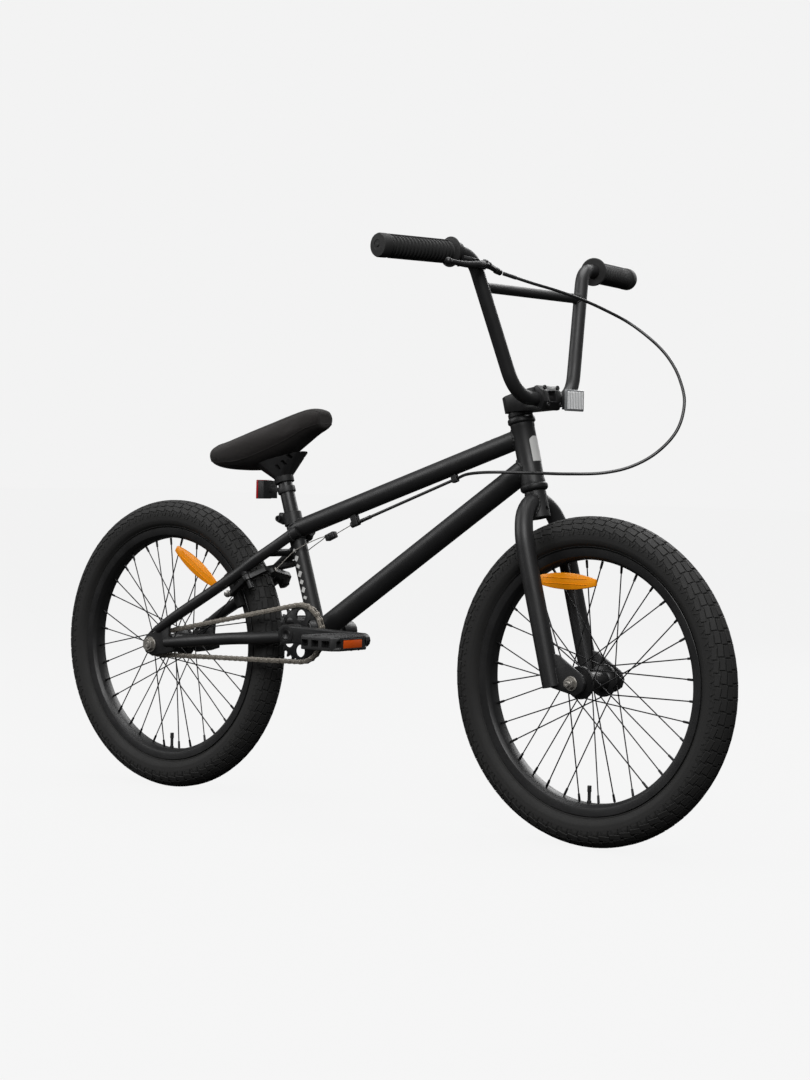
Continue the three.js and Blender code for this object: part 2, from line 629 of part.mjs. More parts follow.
function addWheel(prefix, axle, hub, reflector) {
  const hole = rod(along(axle, vec(0, 0, -1), 150), along(axle, vec(0, 0, -1), 215), 4.5, 12);
  addPart(`${prefix}_tyre`, turned(tyreProfile(), axle, ACROSS, WHEEL_FACETS), rubber);
  addPart(`${prefix}_rim`, cut(turned(rimProfile(), axle, ACROSS, WHEEL_FACETS), hole), blackAlloy);
  addPart(`${prefix}_spokes`, spokeSet(axle, hub.flange, hole), darkSteel);
  addPart(`${prefix}_hub`, hubShell(axle, hub.bore, hub.end, hub.flange, hub.barrel), blackAlloy);
  addPart(`${prefix}_valve`, valve(axle, 3.6, 201 - VALVE_TIP), blackPlastic);
  addPart(`${prefix}_wheel_reflector`, wheelReflector(axle, reflector.centre, reflector.slope), amber);
  addPart(`${prefix}_axle`, rod(
    vec(axle.x, -hub.axleEnd, axle.z), vec(axle.x, hub.axleEnd, axle.z), hub.axleRadius, 20,
  ), darkSteel);
  for (const [name, side] of [['right', -1], ['left', 1]]) {
    addPart(
      `${prefix}_${name}_axle_nut`,
      nut(axle, side, hub.nutFace, hub.nutThickness, hub.axleRadius + 0.5, hub.nutRadius),
      darkSteel,
    );
  }
}

addWheel('front', FRONT_AXLE, {
  bore: 5.5, end: 49, flange: 32, barrel: 15, axleRadius: 5, axleEnd: 71,
  nutFace: LEG_SPACING + 3, nutThickness: 9.5, nutRadius: 9,
}, { centre: [-43, 155], slope: 0 });

addWheel('rear', REAR_AXLE, {
  bore: 7.6, end: 39.5, flange: 27, barrel: 17, axleRadius: 7, axleEnd: 71.5,
  nutFace: REAR_DROPOUT_OUTER, nutThickness: 8.5, nutRadius: 11.5,
}, { centre: [67, 142], slope: -0.56 });

// ---------------------------------------------------------------- drivetrain

const pitchRadius = (teeth) => CHAIN_PITCH / (2 * Math.sin(Math.PI / teeth));
const SPROCKET_RADIUS = pitchRadius(SPROCKET_TEETH);
const DRIVER_RADIUS = pitchRadius(DRIVER_TEETH);
const ROLLER_RADIUS = 4;
const TOOTH_HEIGHT = 1.7;

/** Toothed disc with its first tooth straight up, lying in the chain's plane. */
function toothedDisc(centre, teeth, thickness, holes = []) {
  const radius = pitchRadius(teeth);
  const outline = [];
  for (let i = 0; i < teeth; i += 1) {
    const middle = Math.PI / 2 + (i / teeth) * Math.PI * 2;
    const step = (Math.PI * 2) / teeth;
    for (const [share, height] of [[-0.5, -ROLLER_RADIUS], [-0.12, TOOTH_HEIGHT], [0.12, TOOTH_HEIGHT]]) {
      const angle = middle + share * step;
      const reach = radius + height;
      outline.push([centre.x + reach * Math.cos(angle), centre.z + reach * Math.sin(angle)]);
    }
  }
  return plate(outline, -CHAIN_LINE - thickness / 2, -CHAIN_LINE + thickness / 2, holes);
}

/** Outline of a belt round the two toothed discs, at a distance from the chain's pitch line. */
function beltOutline(offset) {
  const front = SPROCKET_RADIUS + offset;
  const rear = DRIVER_RADIUS + offset;
  const span = BB.clone().sub(REAR_AXLE);
  const rise = Math.atan2(span.z, span.x);
  const spread = Math.acos((SPROCKET_RADIUS - DRIVER_RADIUS) / Math.hypot(span.x, span.z));
  const arc = (centre, radius, from, to, count) => Array.from({ length: count + 1 }, (_, i) => {
    const angle = from + ((to - from) * i) / count;
    return [centre.x + radius * Math.cos(angle), centre.z + radius * Math.sin(angle)];
  });
  return [
    ...arc(BB, front, rise - Math.PI + spread, rise + Math.PI - spread, 16),
    ...arc(REAR_AXLE, rear, rise + Math.PI - spread, rise + Math.PI + spread, 8),
  ];
}

function chainBand() {
  const low = -CHAIN_LINE - CHAIN_HALF_WIDTH;
  const high = -CHAIN_LINE + CHAIN_HALF_WIDTH;
  return cut(
    plate(beltOutline(CHAIN_HALF_HEIGHT), low, high),
    plate(beltOutline(-CHAIN_HALF_HEIGHT), low - 1, high + 1),
    plate(beltOutline(TOOTH_HEIGHT + 0.5), low + 2, high - 2),
  );
}

function sprocket() {
  const windows = Array.from({ length: 6 }, (_, i) => {
    const angle = Math.PI / 2 + (i * Math.PI) / 3;
    return [BB.x + 30 * Math.cos(angle), BB.z + 30 * Math.sin(angle), 10.5];
  });
  return cut(
    toothedDisc(BB, SPROCKET_TEETH, 3.2, windows),
    rod(vec(BB.x, -60, BB.z), vec(BB.x, -30, BB.z), SPINDLE_RADIUS + 0.5),
  );
}

function rearDriver() {
  return cut(
    join(
      toothedDisc(REAR_AXLE, DRIVER_TEETH, 3.2),
      rod(vec(REAR_AXLE.x, -52.5, REAR_AXLE.z), vec(REAR_AXLE.x, -40, REAR_AXLE.z), 12.6, 16),
    ),
    rod(vec(REAR_AXLE.x, -60, REAR_AXLE.z), vec(REAR_AXLE.x, -30, REAR_AXLE.z), 7.6),
  );
}

/** Crank arm on the right (-1) or left (+1), pointing forward (+1) or back (-1). */
function crankArm(side, heading) {
  const end = BB.x + heading * CRANK_LENGTH;
  const boss = (x, from, to, radius, count) => [from, to].flatMap((y) => (
    circlePoints(vec(x, side * y, BB.z), ACROSS, radius, count)
  ));
  const arm = wrapped([
    ...boss(BB.x, ARM_INNER + 4, ARM_OUTER, 14, 14),
    ...boss(end, ARM_INNER + 12, ARM_OUTER + 1, 11.5, 12),
  ]);
  const hubBoss = rod(vec(BB.x, side * ARM_INNER, BB.z), vec(BB.x, side * (ARM_OUTER + 1), BB.z), 16.5);
  return cut(
    join(arm, hubBoss),
    rod(vec(BB.x, side * 40, BB.z), vec(BB.x, side * 100, BB.z), SPINDLE_RADIUS + 0.5),
    rod(vec(end, side * 40, BB.z), vec(end, side * 100, BB.z), 7.6, 12),
  );
}

function pedalAxle(side, heading) {
  const end = BB.x + heading * CRANK_LENGTH;
  const at = (y) => vec(end, side * y, BB.z);
  return join(
    rod(at(ARM_INNER + 14), at(PEDAL_OUTER - 14), 5.5, 16),
    rod(at(ARM_INNER + 14), at(ARM_OUTER + 2), 7, 16),
    rod(at(ARM_OUTER + 1.4), at(PEDAL_INNER - 1), 9, 16),
  );
}

/** Platform pedal: an outer cage with rounded ends, a middle bar round the axle and two cross ribs. */
function pedalBody(side, heading) {
  const end = BB.x + heading * CRANK_LENGTH;
  const middle = (PEDAL_INNER + PEDAL_OUTER) / 2;
  const half = (PEDAL_OUTER - PEDAL_INNER) / 2;
  const long = PEDAL_HALF_LENGTH;
  const outline = [
    [-half, -18], [-half + 6, -30], [-half + 20, -long], [half - 14, -long], [half - 2, -long + 10],
    [half, -18], [half, 18], [half - 2, long - 10], [half - 14, long], [-half + 20, long],
    [-half + 6, 30], [-half, 18],
  ];
  const shape = new THREE.Shape(outline.map(([y, x]) => new THREE.Vector2(x, y)).reverse());
  const windows = [-1, 1].flatMap((front) => [[-32, -4], [4, 34]].map(([from, to]) => [
    [front * 13, from], [front * 31, from + 4], [front * 31, to], [front * 13, to],
  ]));
  for (const corners of windows) {
    shape.holes.push(new THREE.Path(corners.map(([x, y]) => new THREE.Vector2(x, y))));
  }
  const height = PEDAL_HALF_HEIGHT;
  const geometry = new THREE.ExtrudeGeometry(shape, { depth: 2 * height, bevelEnabled: false });
  geometry.translate(0, 0, -height);
  if (side < 0) geometry.rotateX(Math.PI);
  geometry.translate(end, side * middle, BB.z);
  const at = (y) => vec(end, side * y, BB.z);
  return cut(
    toSolid(geometry),
    rod(at(PEDAL_INNER - 5), at(PEDAL_OUTER - 12), 6.1, 16),
  );
}

addPart('drive_chain', chainBand(), chainSteel);
addPart('rear_driver', rearDriver(), darkSteel);
addPart('sprocket', sprocket(), blackAlloy);
addPart('crank_spindle', rod(
  vec(BB.x, -ARM_OUTER + 1, BB.z),
  vec(BB.x, ARM_OUTER - 1, BB.z),
  SPINDLE_RADIUS,
), darkSteel);
for (const [name, side, heading] of [['right', -1, 1], ['left', 1, -1]]) {
  addPart(`${name}_crank_arm`, crankArm(side, heading), blackAlloy);
  addPart(`${name}_pedal_axle`, pedalAxle(side, heading), darkSteel);
  addPart(`${name}_pedal_body`, pedalBody(side, heading), blackPlastic);
}

// ---------------------------------------------------------------- seat

const POST_TOP = 277;
const POST_BOTTOM = 120;

/** Stations along the seat: x, half width, height of the top and of the lower edge. */
const SEAT_STATIONS = [
  [-338, 26, 611, 591], [-322, 52, 620, 578], [-292, 66, 632, 572], [-252, 67, 646, 574],
  [-210, 52, 661, 594], [-170, 37, 676, 616], [-136, 31, 687, 638], [-114, 24, 683, 650], [-105, 13, 673, 656],
];

function seatCushion(drop = 0) {
  const points = [];
  for (const [x, half, top, low] of SEAT_STATIONS) {
    const middle = (top + low) / 2;
    const height = (top - low) / 2;
    for (let i = 0; i < 14; i += 1) {
      const angle = (i / 14) * Math.PI * 2;
      const lift = Math.sign(Math.sin(angle)) * Math.abs(Math.sin(angle)) ** 0.8;
      points.push(vec(x, half * Math.cos(angle), middle + height * lift - drop));
    }
  }
  return wrapped(points);
}

function seatBase() {
  const top = onSeatTube(POST_TOP - 4);
  const flare = wrapped([
    ...circlePoints(onSeatTube(POST_TOP + 2), SEAT_UP, 17, 12),
    ...circlePoints(top.clone().add(vec(-24, 0, 32)), vec(-0.35, 0, 1), 34, 12),
    ...circlePoints(top.clone().add(vec(22, 0, 44)), vec(-0.35, 0, 1), 24, 12),
  ]);
  const collar = rod(onSeatTube(POST_TOP - 8), onSeatTube(POST_TOP + 6), 17, 20);
  return cut(
    join(flare, collar),
    rod(onSeatTube(POST_TOP - 12), onSeatTube(POST_TOP + 22), POST_RADIUS + GAP),
    seatCushion(GAP + 0.1),
  );
}

const LAMP_LOW = 526;
const LAMP_HIGH = 559;
const LAMP_MIDDLE = (LAMP_LOW + LAMP_HIGH) / 2;
const LAMP_UP = (LAMP_MIDDLE - BB.z) / Math.cos(SEAT_TUBE_TILT);

function rearReflectorBracket() {
  const centre = onSeatTube(LAMP_UP);
  return cut(
    join(
      rod(along(centre, SEAT_UP, -5), along(centre, SEAT_UP, 5), POST_RADIUS + 3),
      block(along(centre, vec(-1, 0, 0), 27), vec(30, 8, 8)),
      block(vec(-237, 0, LAMP_MIDDLE), vec(13, 36, LAMP_HIGH - LAMP_LOW - 2)),
    ),
    rod(along(centre, SEAT_UP, -15), along(centre, SEAT_UP, 15), POST_RADIUS + GAP + 0.1),
  );
}

addPart('seat_post', rod(onSeatTube(POST_BOTTOM), onSeatTube(POST_TOP + 20), POST_RADIUS), blackPaint);
addPart('seat_base', seatBase(), blackPlastic);
addPart('seat_cushion', seatCushion(), seatCover);
addPart('rear_reflector_bracket', rearReflectorBracket(), blackPlastic);
addPart('rear_reflector_lens', block(
  vec(-246, 0, LAMP_MIDDLE),
  vec(4, 38, LAMP_HIGH - LAMP_LOW),
), redLens);

// ---------------------------------------------------------------- rear brake

const ANCHOR_FORWARD = 47;
const ANCHOR_SIDE = 31;
const PAD_ANGLE = 0.518;
const PAD_RADIUS = 200.5;
const PAD_CENTRE = vec(
  REAR_AXLE.x + PAD_RADIUS * Math.cos(PAD_ANGLE), 0, REAR_AXLE.z + PAD_RADIUS * Math.sin(PAD_ANGLE),
);
const PAD_OUTER = 31;

/** Brake arm on one side: pivot eye, lower leg to the pad, upper leg crossing over the tyre. */
function brakeArm(side, level) {
  const at = (forward, out, left) => onBrake(forward, out, side * left);
  const post = (forward, low, high, left, radius) => [low, high].flatMap((out) => (
    circlePoints(at(forward, out, left), STUD_OUT, radius, 8)
  ));
  const eye = rod(at(0, 13, 43.5), at(0, level + 8, 43.5), 9.5, 12);
  const lower = wrapped([...post(-4, 14, 22, 43, 7), ...post(-50, 15, 22, 40, 6)]);
  const upper = wrapped([...post(2, level, level + 8, 43, 7), ...post(28, level, level + 8, 26, 6.5)]);
  const tip = wrapped([
    ...post(28, level, level + 8, 26, 6.5), ...post(ANCHOR_FORWARD, level, level + 8, -ANCHOR_SIDE, 6),
  ]);
  const stud = rod(onBrake(0, 0, side * 43.5), onBrake(0, 60, side * 43.5), 5.5, 12);
  return cut(join(eye, lower, upper, tip), stud);
}

function brakePad(side) {
  const centre = vec(PAD_CENTRE.x, side * 25.5, PAD_CENTRE.z);
  return join(
    block(centre, vec(11, 10.4, 50), PAD_ANGLE),
    rod(vec(centre.x, side * 28, centre.z), vec(centre.x, side * PAD_OUTER, centre.z), 5, 12),
  );
}

const CARRIER = vec(-88, 0, 466);
const CARRIER_LIFT = Math.atan2(CABLE_STOP.z - CARRIER.z, CABLE_STOP.x - CARRIER.x);
const CARRIER_LINE = vec(Math.cos(CARRIER_LIFT), 0, Math.sin(CARRIER_LIFT));

function straddleWire() {
  const apex = along(CARRIER, CARRIER_LINE, -12.5);
  const anchor = (side, out) => onBrake(ANCHOR_FORWARD + 8.5, out, side * ANCHOR_SIDE);
  return sweep(smooth([
    anchor(-1, 33), apex.clone().add(vec(-52, -17, -26)), apex.clone().add(vec(-4, -3.2, -2)),
    apex.clone().add(vec(-4, 3.2, -2)), apex.clone().add(vec(-52, 17, -26)), anchor(1, 19),
  ], 16), WIRE_RADIUS, 6);
}

function innerWire() {
  return rod(along(CARRIER, CARRIER_LINE, 11), along(CABLE_STOP, CABLE_LINE, -9), WIRE_RADIUS, 6);
}

function cableAdjuster() {
  const profile = [[1.4, -8], [5.6, -8], [5.6, -7.3 + GAP], [3.5, -7], [3.5, 12], [5, 12.5], [5, 22], [3, 23],
    [1.4, 23], [1.4, -8]];
  return turned(profile, CABLE_STOP, CABLE_LINE, 12);
}

/** Brake cable housing: out of the lever, round the front of the bars, then under the top tube. */
const CABLE_ROUTE = [
  vec(345, -108, 893), vec(370, -70, 881), vec(388, -20, 871), vec(407, 30, 858), vec(429, 62, 843),
  vec(450, 85, 828), vec(476, 98, 808), vec(504, 104, 784), vec(523, 106, 762), vec(539, 104, 737),
  vec(554, 96, 700), vec(552, 80, 656), vec(531, 56, 620), vec(501, 30, 597), vec(467, 4, 586),
  vec(421, -24, 583), vec(367, -42, 583), vec(298, -40, 583), vec(241, -24, 581), vec(202, -7, 577),
];

addPart('right_brake_arm', brakeArm(-1, 14), blackAlloy);
addPart('left_brake_arm', brakeArm(1, 27), blackAlloy);
addPart('right_brake_pad', brakePad(-1), rubber);
addPart('left_brake_pad', brakePad(1), rubber);
addPart('straddle_carrier', block(CARRIER, vec(20, 12, 11), CARRIER_LIFT), blackAlloy);
addPart('straddle_wire', straddleWire(), darkSteel);
addPart('brake_inner_wire', innerWire(), darkSteel);
addPart('cable_adjuster', cableAdjuster(), blackAlloy);
addPart('brake_cable', sweep(smooth([
  ...CABLE_ROUTE, along(CABLE_CLIP, CABLE_LINE, 8), CABLE_CLIP, along(CABLE_CLIP, CABLE_LINE, -12),
  along(CABLE_STOP, CABLE_LINE, 120), along(CABLE_STOP, CABLE_LINE, 24),
], 64), CABLE_RADIUS, 8), blackPlastic);

export default bike;
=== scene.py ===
"""Detailed Blender model of a freestyle BMX bicycle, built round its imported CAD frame.

Sizes are in millimetres until a mesh is made; +X is forward, +Y the rider's left and +Z up.
"""

import json
import logging
import math
from dataclasses import dataclass, field
from enum import Enum
from typing import Callable, Optional, Sequence

import bpy
from mathutils import Matrix, Quaternion, Vector


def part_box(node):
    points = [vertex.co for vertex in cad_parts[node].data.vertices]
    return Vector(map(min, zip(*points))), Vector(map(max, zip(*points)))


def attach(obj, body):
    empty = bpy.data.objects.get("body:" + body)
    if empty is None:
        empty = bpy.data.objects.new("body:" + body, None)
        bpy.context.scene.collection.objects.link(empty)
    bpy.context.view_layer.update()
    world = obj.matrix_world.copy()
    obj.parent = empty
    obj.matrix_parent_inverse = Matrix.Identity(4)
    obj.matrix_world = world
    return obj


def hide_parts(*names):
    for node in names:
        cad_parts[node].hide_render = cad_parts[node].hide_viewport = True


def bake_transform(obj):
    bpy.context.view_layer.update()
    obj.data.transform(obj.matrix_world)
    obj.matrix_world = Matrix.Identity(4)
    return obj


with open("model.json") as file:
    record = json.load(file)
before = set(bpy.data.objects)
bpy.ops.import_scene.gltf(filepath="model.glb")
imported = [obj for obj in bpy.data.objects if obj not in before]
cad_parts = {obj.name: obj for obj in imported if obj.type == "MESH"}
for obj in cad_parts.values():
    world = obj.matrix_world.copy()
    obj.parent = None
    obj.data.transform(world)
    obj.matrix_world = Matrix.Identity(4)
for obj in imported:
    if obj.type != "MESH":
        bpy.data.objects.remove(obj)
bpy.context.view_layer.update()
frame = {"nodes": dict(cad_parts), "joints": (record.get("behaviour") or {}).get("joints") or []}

LOG = logging.getLogger("bmx")
MM = 0.001
TURN = math.tau
Points = Sequence[Vector]
Profile = Sequence[tuple[float, float]]

# ------------------------------------------------------------------ places read from the frame


def centre_of(node: str) -> Vector:
    """Returns the middle of a CAD node's box, in millimetres."""
    low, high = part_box(node)
    return (Vector(low) + Vector(high)) / 2 / MM


def joint_axis(name: str) -> Vector:
    """Returns the unit axis of a joint."""
    return Vector(next(j["axis"] for j in frame["joints"] if j["name"] == name)).normalized()


ACROSS = Vector((0, 1, 0))
FRONT_AXLE = centre_of("front_axle")
REAR_AXLE = centre_of("rear_axle")
BRACKET = centre_of("crank_spindle")
HEAD_UP = joint_axis("steering_turn")
HEAD_FORWARD = Vector((HEAD_UP.z, 0, -HEAD_UP.x))
SEAT_UP = joint_axis("seat_height")
FORK_OFFSET = 39.0
STUD_BASE = Vector((-250, 0, 402))
STAY_FORWARD = Vector((0.833, 0, 0.553))
STUD_OUT = Vector((0.553, 0, -0.833))
CABLE_CLIP = Vector((176, 0, 569))
CABLE_STOP = Vector((-36, 0, 489))
CABLE_LINE = (CABLE_CLIP - CABLE_STOP).normalized()


def on_head(up: float, forward: float = 0, left: float = 0) -> Vector:
    """Returns a point beside the steering axis, by height along it from the axle's level."""
    return FRONT_AXLE + HEAD_UP * up + HEAD_FORWARD * (forward - FORK_OFFSET) + ACROSS * left


def on_seat_tube(up: float) -> Vector:
    """Returns a point on the seat tube's axis, by distance from the bottom bracket."""
    return BRACKET + SEAT_UP * up


def onto_stay(forward: float, out: float, left: float) -> Vector:
    """Returns a point by the brake: along the seat stay, away from it, and across the bike."""
    return STUD_BASE + STAY_FORWARD * forward + STUD_OUT * out + ACROSS * left


def flipped(point: Vector) -> Vector:
    """Returns the point's mirror image on the bike's other side."""
    return Vector((point.x, -point.y, point.z))


# ------------------------------------------------------------------ finishes


class Pattern(Enum):
    """What a finish's surface is broken up by."""

    GRAIN = "grain"
    BRUSHED = "brushed"
    WEAVE = "weave"
    PRISM = "prism"


@dataclass(frozen=True)
class Finish:
    """One material: its colour, its gloss and the fine relief on it."""

    name: str
    slot: str
    colour: tuple[float, float, float]
    roughness: float
    metallic: float = 0.0
    coat: float = 0.0
    sheen: float = 0.0
    specular: float = 0.5
    pattern: Pattern = Pattern.GRAIN
    scale: float = 900.0
    relief: float = 0.15
    spread: float = 0.08
    mottle: float = 0.18

    def material(self) -> bpy.types.Material:
        """Returns the finish's material, made on first use."""
        found = bpy.data.materials.get(self.name)
        return found or self._make()

    def _make(self) -> bpy.types.Material:
        """Builds the node tree."""
        material = bpy.data.materials.new(self.name)
        material.use_nodes = True
        nodes, links = material.node_tree.nodes, material.node_tree.links
        shader = nodes["Principled BSDF"]
        shader.inputs["Metallic"].default_value = self.metallic
        shader.inputs["Coat Weight"].default_value = self.coat
        shader.inputs["Coat Roughness"].default_value = 0.12
        shader.inputs["Sheen Weight"].default_value = self.sheen
        shader.inputs["Sheen Roughness"].default_value = 0.6
        shader.inputs["Specular IOR Level"].default_value = self.specular
        place = nodes.new("ShaderNodeTexCoord").outputs["Object"]
        fine = self._relief(nodes, links, place)
        cloud = nodes.new("ShaderNodeTexNoise")
        cloud.inputs["Scale"].default_value = 23.0
        cloud.inputs["Detail"].default_value = 6.0
        cloud.inputs["Roughness"].default_value = 0.65
        links.new(place, cloud.inputs["Vector"])
        gloss = nodes.new("ShaderNodeMapRange")
        gloss.inputs["From Min"].default_value = 0.3
        gloss.inputs["From Max"].default_value = 0.7
        gloss.inputs["To Min"].default_value = max(0.03, self.roughness - self.spread)
        gloss.inputs["To Max"].default_value = min(1.0, self.roughness + self.spread)
        links.new(cloud.outputs["Fac"], gloss.inputs["Value"])
        links.new(gloss.outputs["Result"], shader.inputs["Roughness"])
        tone = nodes.new("ShaderNodeMix")
        tone.data_type = "RGBA"
        tone.inputs["A"].default_value = (*[c * (1 - self.mottle) for c in self.colour], 1)
        tone.inputs["B"].default_value = (*[min(1.0, c * (1 + self.mottle)) for c in self.colour], 1)
        blend = nodes.new("ShaderNodeMath")
        blend.operation = "MULTIPLY_ADD"
        blend.inputs[1].default_value = 0.5
        links.new(cloud.outputs["Fac"], blend.inputs[0])
        half = nodes.new("ShaderNodeMath")
        half.operation = "MULTIPLY"
        half.inputs[1].default_value = 0.5
        links.new(fine, half.inputs[0])
        links.new(half.outputs[0], blend.inputs[2])
        links.new(blend.outputs[0], tone.inputs["Factor"])
        links.new(tone.outputs["Result"], shader.inputs["Base Color"])
        bump = nodes.new("ShaderNodeBump")
        bump.inputs["Strength"].default_value = self.relief
        bump.inputs["Distance"].default_value = 0.0006
        links.new(fine, bump.inputs["Height"])
        links.new(bump.outputs["Normal"], shader.inputs["Normal"])
        return material

    def _relief(self, nodes: bpy.types.Nodes, links: bpy.types.NodeLinks,
                place: bpy.types.NodeSocket) -> bpy.types.NodeSocket:
        """Adds the pattern's height.

        Args:
            nodes: The material's nodes.
            links: The material's links.
            place: Object coordinates.

        Returns:
            A socket from 0 to 1.
        """
        if self.pattern is Pattern.WEAVE:
            waves = []
            for turn in (0.0, math.pi / 2):
                lay = nodes.new("ShaderNodeMapping")
                lay.inputs["Rotation"].default_value = (0.0, 0.0, turn + 0.6)
                links.new(place, lay.inputs["Vector"])
                wave = nodes.new("ShaderNodeTexWave")
                wave.inputs["Scale"].default_value = self.scale
                wave.inputs["Distortion"].default_value = 0.6
                wave.inputs["Detail"].default_value = 1.0
                links.new(lay.outputs["Vector"], wave.inputs["Vector"])
                waves.append(wave.outputs["Fac"])
            cross = nodes.new("ShaderNodeMath")
            cross.operation = "MULTIPLY"
            links.new(waves[0], cross.inputs[0])
            links.new(waves[1], cross.inputs[1])
            return cross.outputs[0]
        if self.pattern is Pattern.PRISM:
            cells = nodes.new("ShaderNodeTexVoronoi")
            cells.distance = "CHEBYCHEV"
            cells.inputs["Scale"].default_value = self.scale
            cells.inputs["Randomness"].default_value = 0.12
            links.new(place, cells.inputs["Vector"])
            return cells.outputs["Distance"]
        noise = nodes.new("ShaderNodeTexNoise")
        noise.inputs["Scale"].default_value = self.scale
        noise.inputs["Detail"].default_value = 3.0
        source = place
        if self.pattern is Pattern.BRUSHED:
            lay = nodes.new("ShaderNodeMapping")
            lay.inputs["Scale"].default_value = (1.0, 0.06, 1.0)
            links.new(place, lay.inputs["Vector"])
            source = lay.outputs["Vector"]
        links.new(source, noise.inputs["Vector"])
        return noise.outputs["Fac"]


PAINT = Finish("matte_paint", "frame_paint", (0.0125, 0.0125, 0.013), 0.46, specular=0.4, scale=1500,
               relief=0.05)
ALLOY = Finish("anodised_alloy", "black_alloy", (0.014, 0.014, 0.0145), 0.4, metallic=0.25, scale=1300,
               relief=0.12)
FORGED = Finish("blacked_steel", "black_steel", (0.012, 0.012, 0.0125), 0.42, metallic=0.2, scale=1100)
STEEL = Finish("turned_steel", "dark_steel", (0.3, 0.285, 0.26), 0.4, metallic=0.6, pattern=Pattern.BRUSHED,
               scale=1600, relief=0.2, mottle=0.25, spread=0.14)
BRIGHT = Finish("bright_steel", "dark_steel", (0.5, 0.49, 0.47), 0.3, metallic=0.95, pattern=Pattern.BRUSHED,
                scale=900, relief=0.08)
SPOKE = Finish("blacked_wire", "dark_steel", (0.018, 0.018, 0.019), 0.35, metallic=0.6, scale=1500,
               relief=0.05)
LINKS = Finish("link_steel", "chain_steel", (0.22, 0.2, 0.172), 0.4, metallic=0.4, scale=800, relief=0.25,
               mottle=0.25, spread=0.16)
TYRE = Finish("ribbed_rubber", "tyre_rubber", (0.0155, 0.0153, 0.015), 0.72, specular=0.35, scale=620,
              relief=0.35, mottle=0.25)
GRIP = Finish("finned_rubber", "grip_rubber", (0.0125, 0.0125, 0.0125), 0.66, specular=0.35, scale=700,
              relief=0.3)
MOULDED = Finish("moulded_plastic", "black_plastic", (0.0135, 0.0135, 0.014), 0.52, scale=1000, relief=0.3)
SLEEVE = Finish("cable_sleeve", "cable_cover", (0.011, 0.011, 0.0115), 0.36, coat=0.2, scale=600, relief=0.02)
CLOTH = Finish("seat_cloth", "seat_cover", (0.0175, 0.0152, 0.0145), 0.86, sheen=0.05, specular=0.2,
               pattern=Pattern.WEAVE, scale=420, relief=0.55, mottle=0.4)
AMBER = Finish("amber_reflector", "amber_lens", (1.0, 0.3, 0.004), 0.34, coat=0.15, specular=0.3,
               pattern=Pattern.PRISM, scale=330, relief=0.4, mottle=0.22)
PEDAL_AMBER = Finish("deep_amber_reflector", "amber_lens", (0.62, 0.085, 0.008), 0.32, coat=0.2,
                     specular=0.3, pattern=Pattern.PRISM, scale=330, relief=0.5, mottle=0.3)
RED = Finish("red_reflector", "red_lens", (0.42, 0.006, 0.01), 0.26, coat=0.4, specular=0.3,
             pattern=Pattern.PRISM, scale=330, relief=0.5, mottle=0.3)
CLEAR = Finish("clear_reflector", "clear_lens", (0.86, 0.87, 0.88), 0.2, coat=0.7, pattern=Pattern.PRISM,
               scale=330, relief=0.4, mottle=0.2)
SMOKED = Finish("clear_reflector_back", "clear_lens", (0.2, 0.205, 0.21), 0.3, coat=0.5,
                pattern=Pattern.PRISM, scale=330, relief=0.6, mottle=0.4)
MARKING = Finish("pale_marking", "frame_paint", (0.55, 0.55, 0.54), 0.5, scale=900, relief=0.05)


# ------------------------------------------------------------------ modelling by operators


def deselect() -> None:
    """Leaves edit mode and selects nothing."""
    if bpy.context.object and bpy.context.object.mode != "OBJECT":
        bpy.ops.object.mode_set(mode="OBJECT")
    bpy.ops.object.select_all(action="DESELECT")


def activate(piece: bpy.types.Object) -> None:
    """Makes a piece the only selected one."""
    deselect()
    piece.select_set(True)
    bpy.context.view_layer.objects.active = piece


def moved(offset: Vector) -> Matrix:
    """Returns a shift by millimetres, as a matrix in metres."""
    return Matrix.Translation(offset * MM)


def spun(angle: float, axis: str) -> Matrix:
    """Returns a turn by radians about one of the frame's axes."""
    return Matrix.Rotation(angle, 4, axis)


def settle(piece: bpy.types.Object, name: str) -> bpy.types.Object:
    """Moves the piece's place into its mesh and names it.

    Args:
        piece: A new mesh object.
        name: Its name.

    Returns:
        The piece.
    """
    activate(piece)
    bpy.ops.object.transform_apply(location=True, rotation=True, scale=True)
    piece.name = name
    piece.data.name = name
    return piece


def heal(piece: bpy.types.Object, distance: float = 0.004) -> bpy.types.Object:
    """Merges doubled corners, drops loose edges and turns the faces outward.

    Args:
        piece: The mesh to mend.
        distance: How near two corners are merged, in millimetres.

    Returns:
        The piece.
    """
    activate(piece)
    bpy.ops.object.mode_set(mode="EDIT")
    bpy.ops.mesh.select_all(action="SELECT")
    bpy.ops.mesh.remove_doubles(threshold=distance * MM)
    bpy.ops.mesh.delete_loose(use_verts=True, use_edges=True, use_faces=False)
    bpy.ops.mesh.select_all(action="SELECT")
    bpy.ops.mesh.normals_make_consistent(inside=False)
    bpy.ops.object.mode_set(mode="OBJECT")
    return piece


def bevelled(piece: bpy.types.Object, width: float, segments: int = 2, angle: float = 35) -> bpy.types.Object:
    """Rounds the sharp edges.

    Args:
        piece: The mesh.
        width: The rounding's width in millimetres.
        segments: Faces across it.
        angle: Edges sharper than this many degrees are rounded.

    Returns:
        The piece.
    """
    activate(piece)
    bevel = piece.modifiers.new("rounding", "BEVEL")
    bevel.width = width * MM
    bevel.segments = segments
    bevel.limit_method = "ANGLE"
    bevel.angle_limit = math.radians(angle)
    bevel.harden_normals = False
    bpy.ops.object.modifier_apply(modifier=bevel.name)
    return piece


def along_axis(axis: Vector) -> Quaternion:
    """Returns the turn that takes +Z to an axis."""
    return axis.normalized().to_track_quat("Z", "Y")


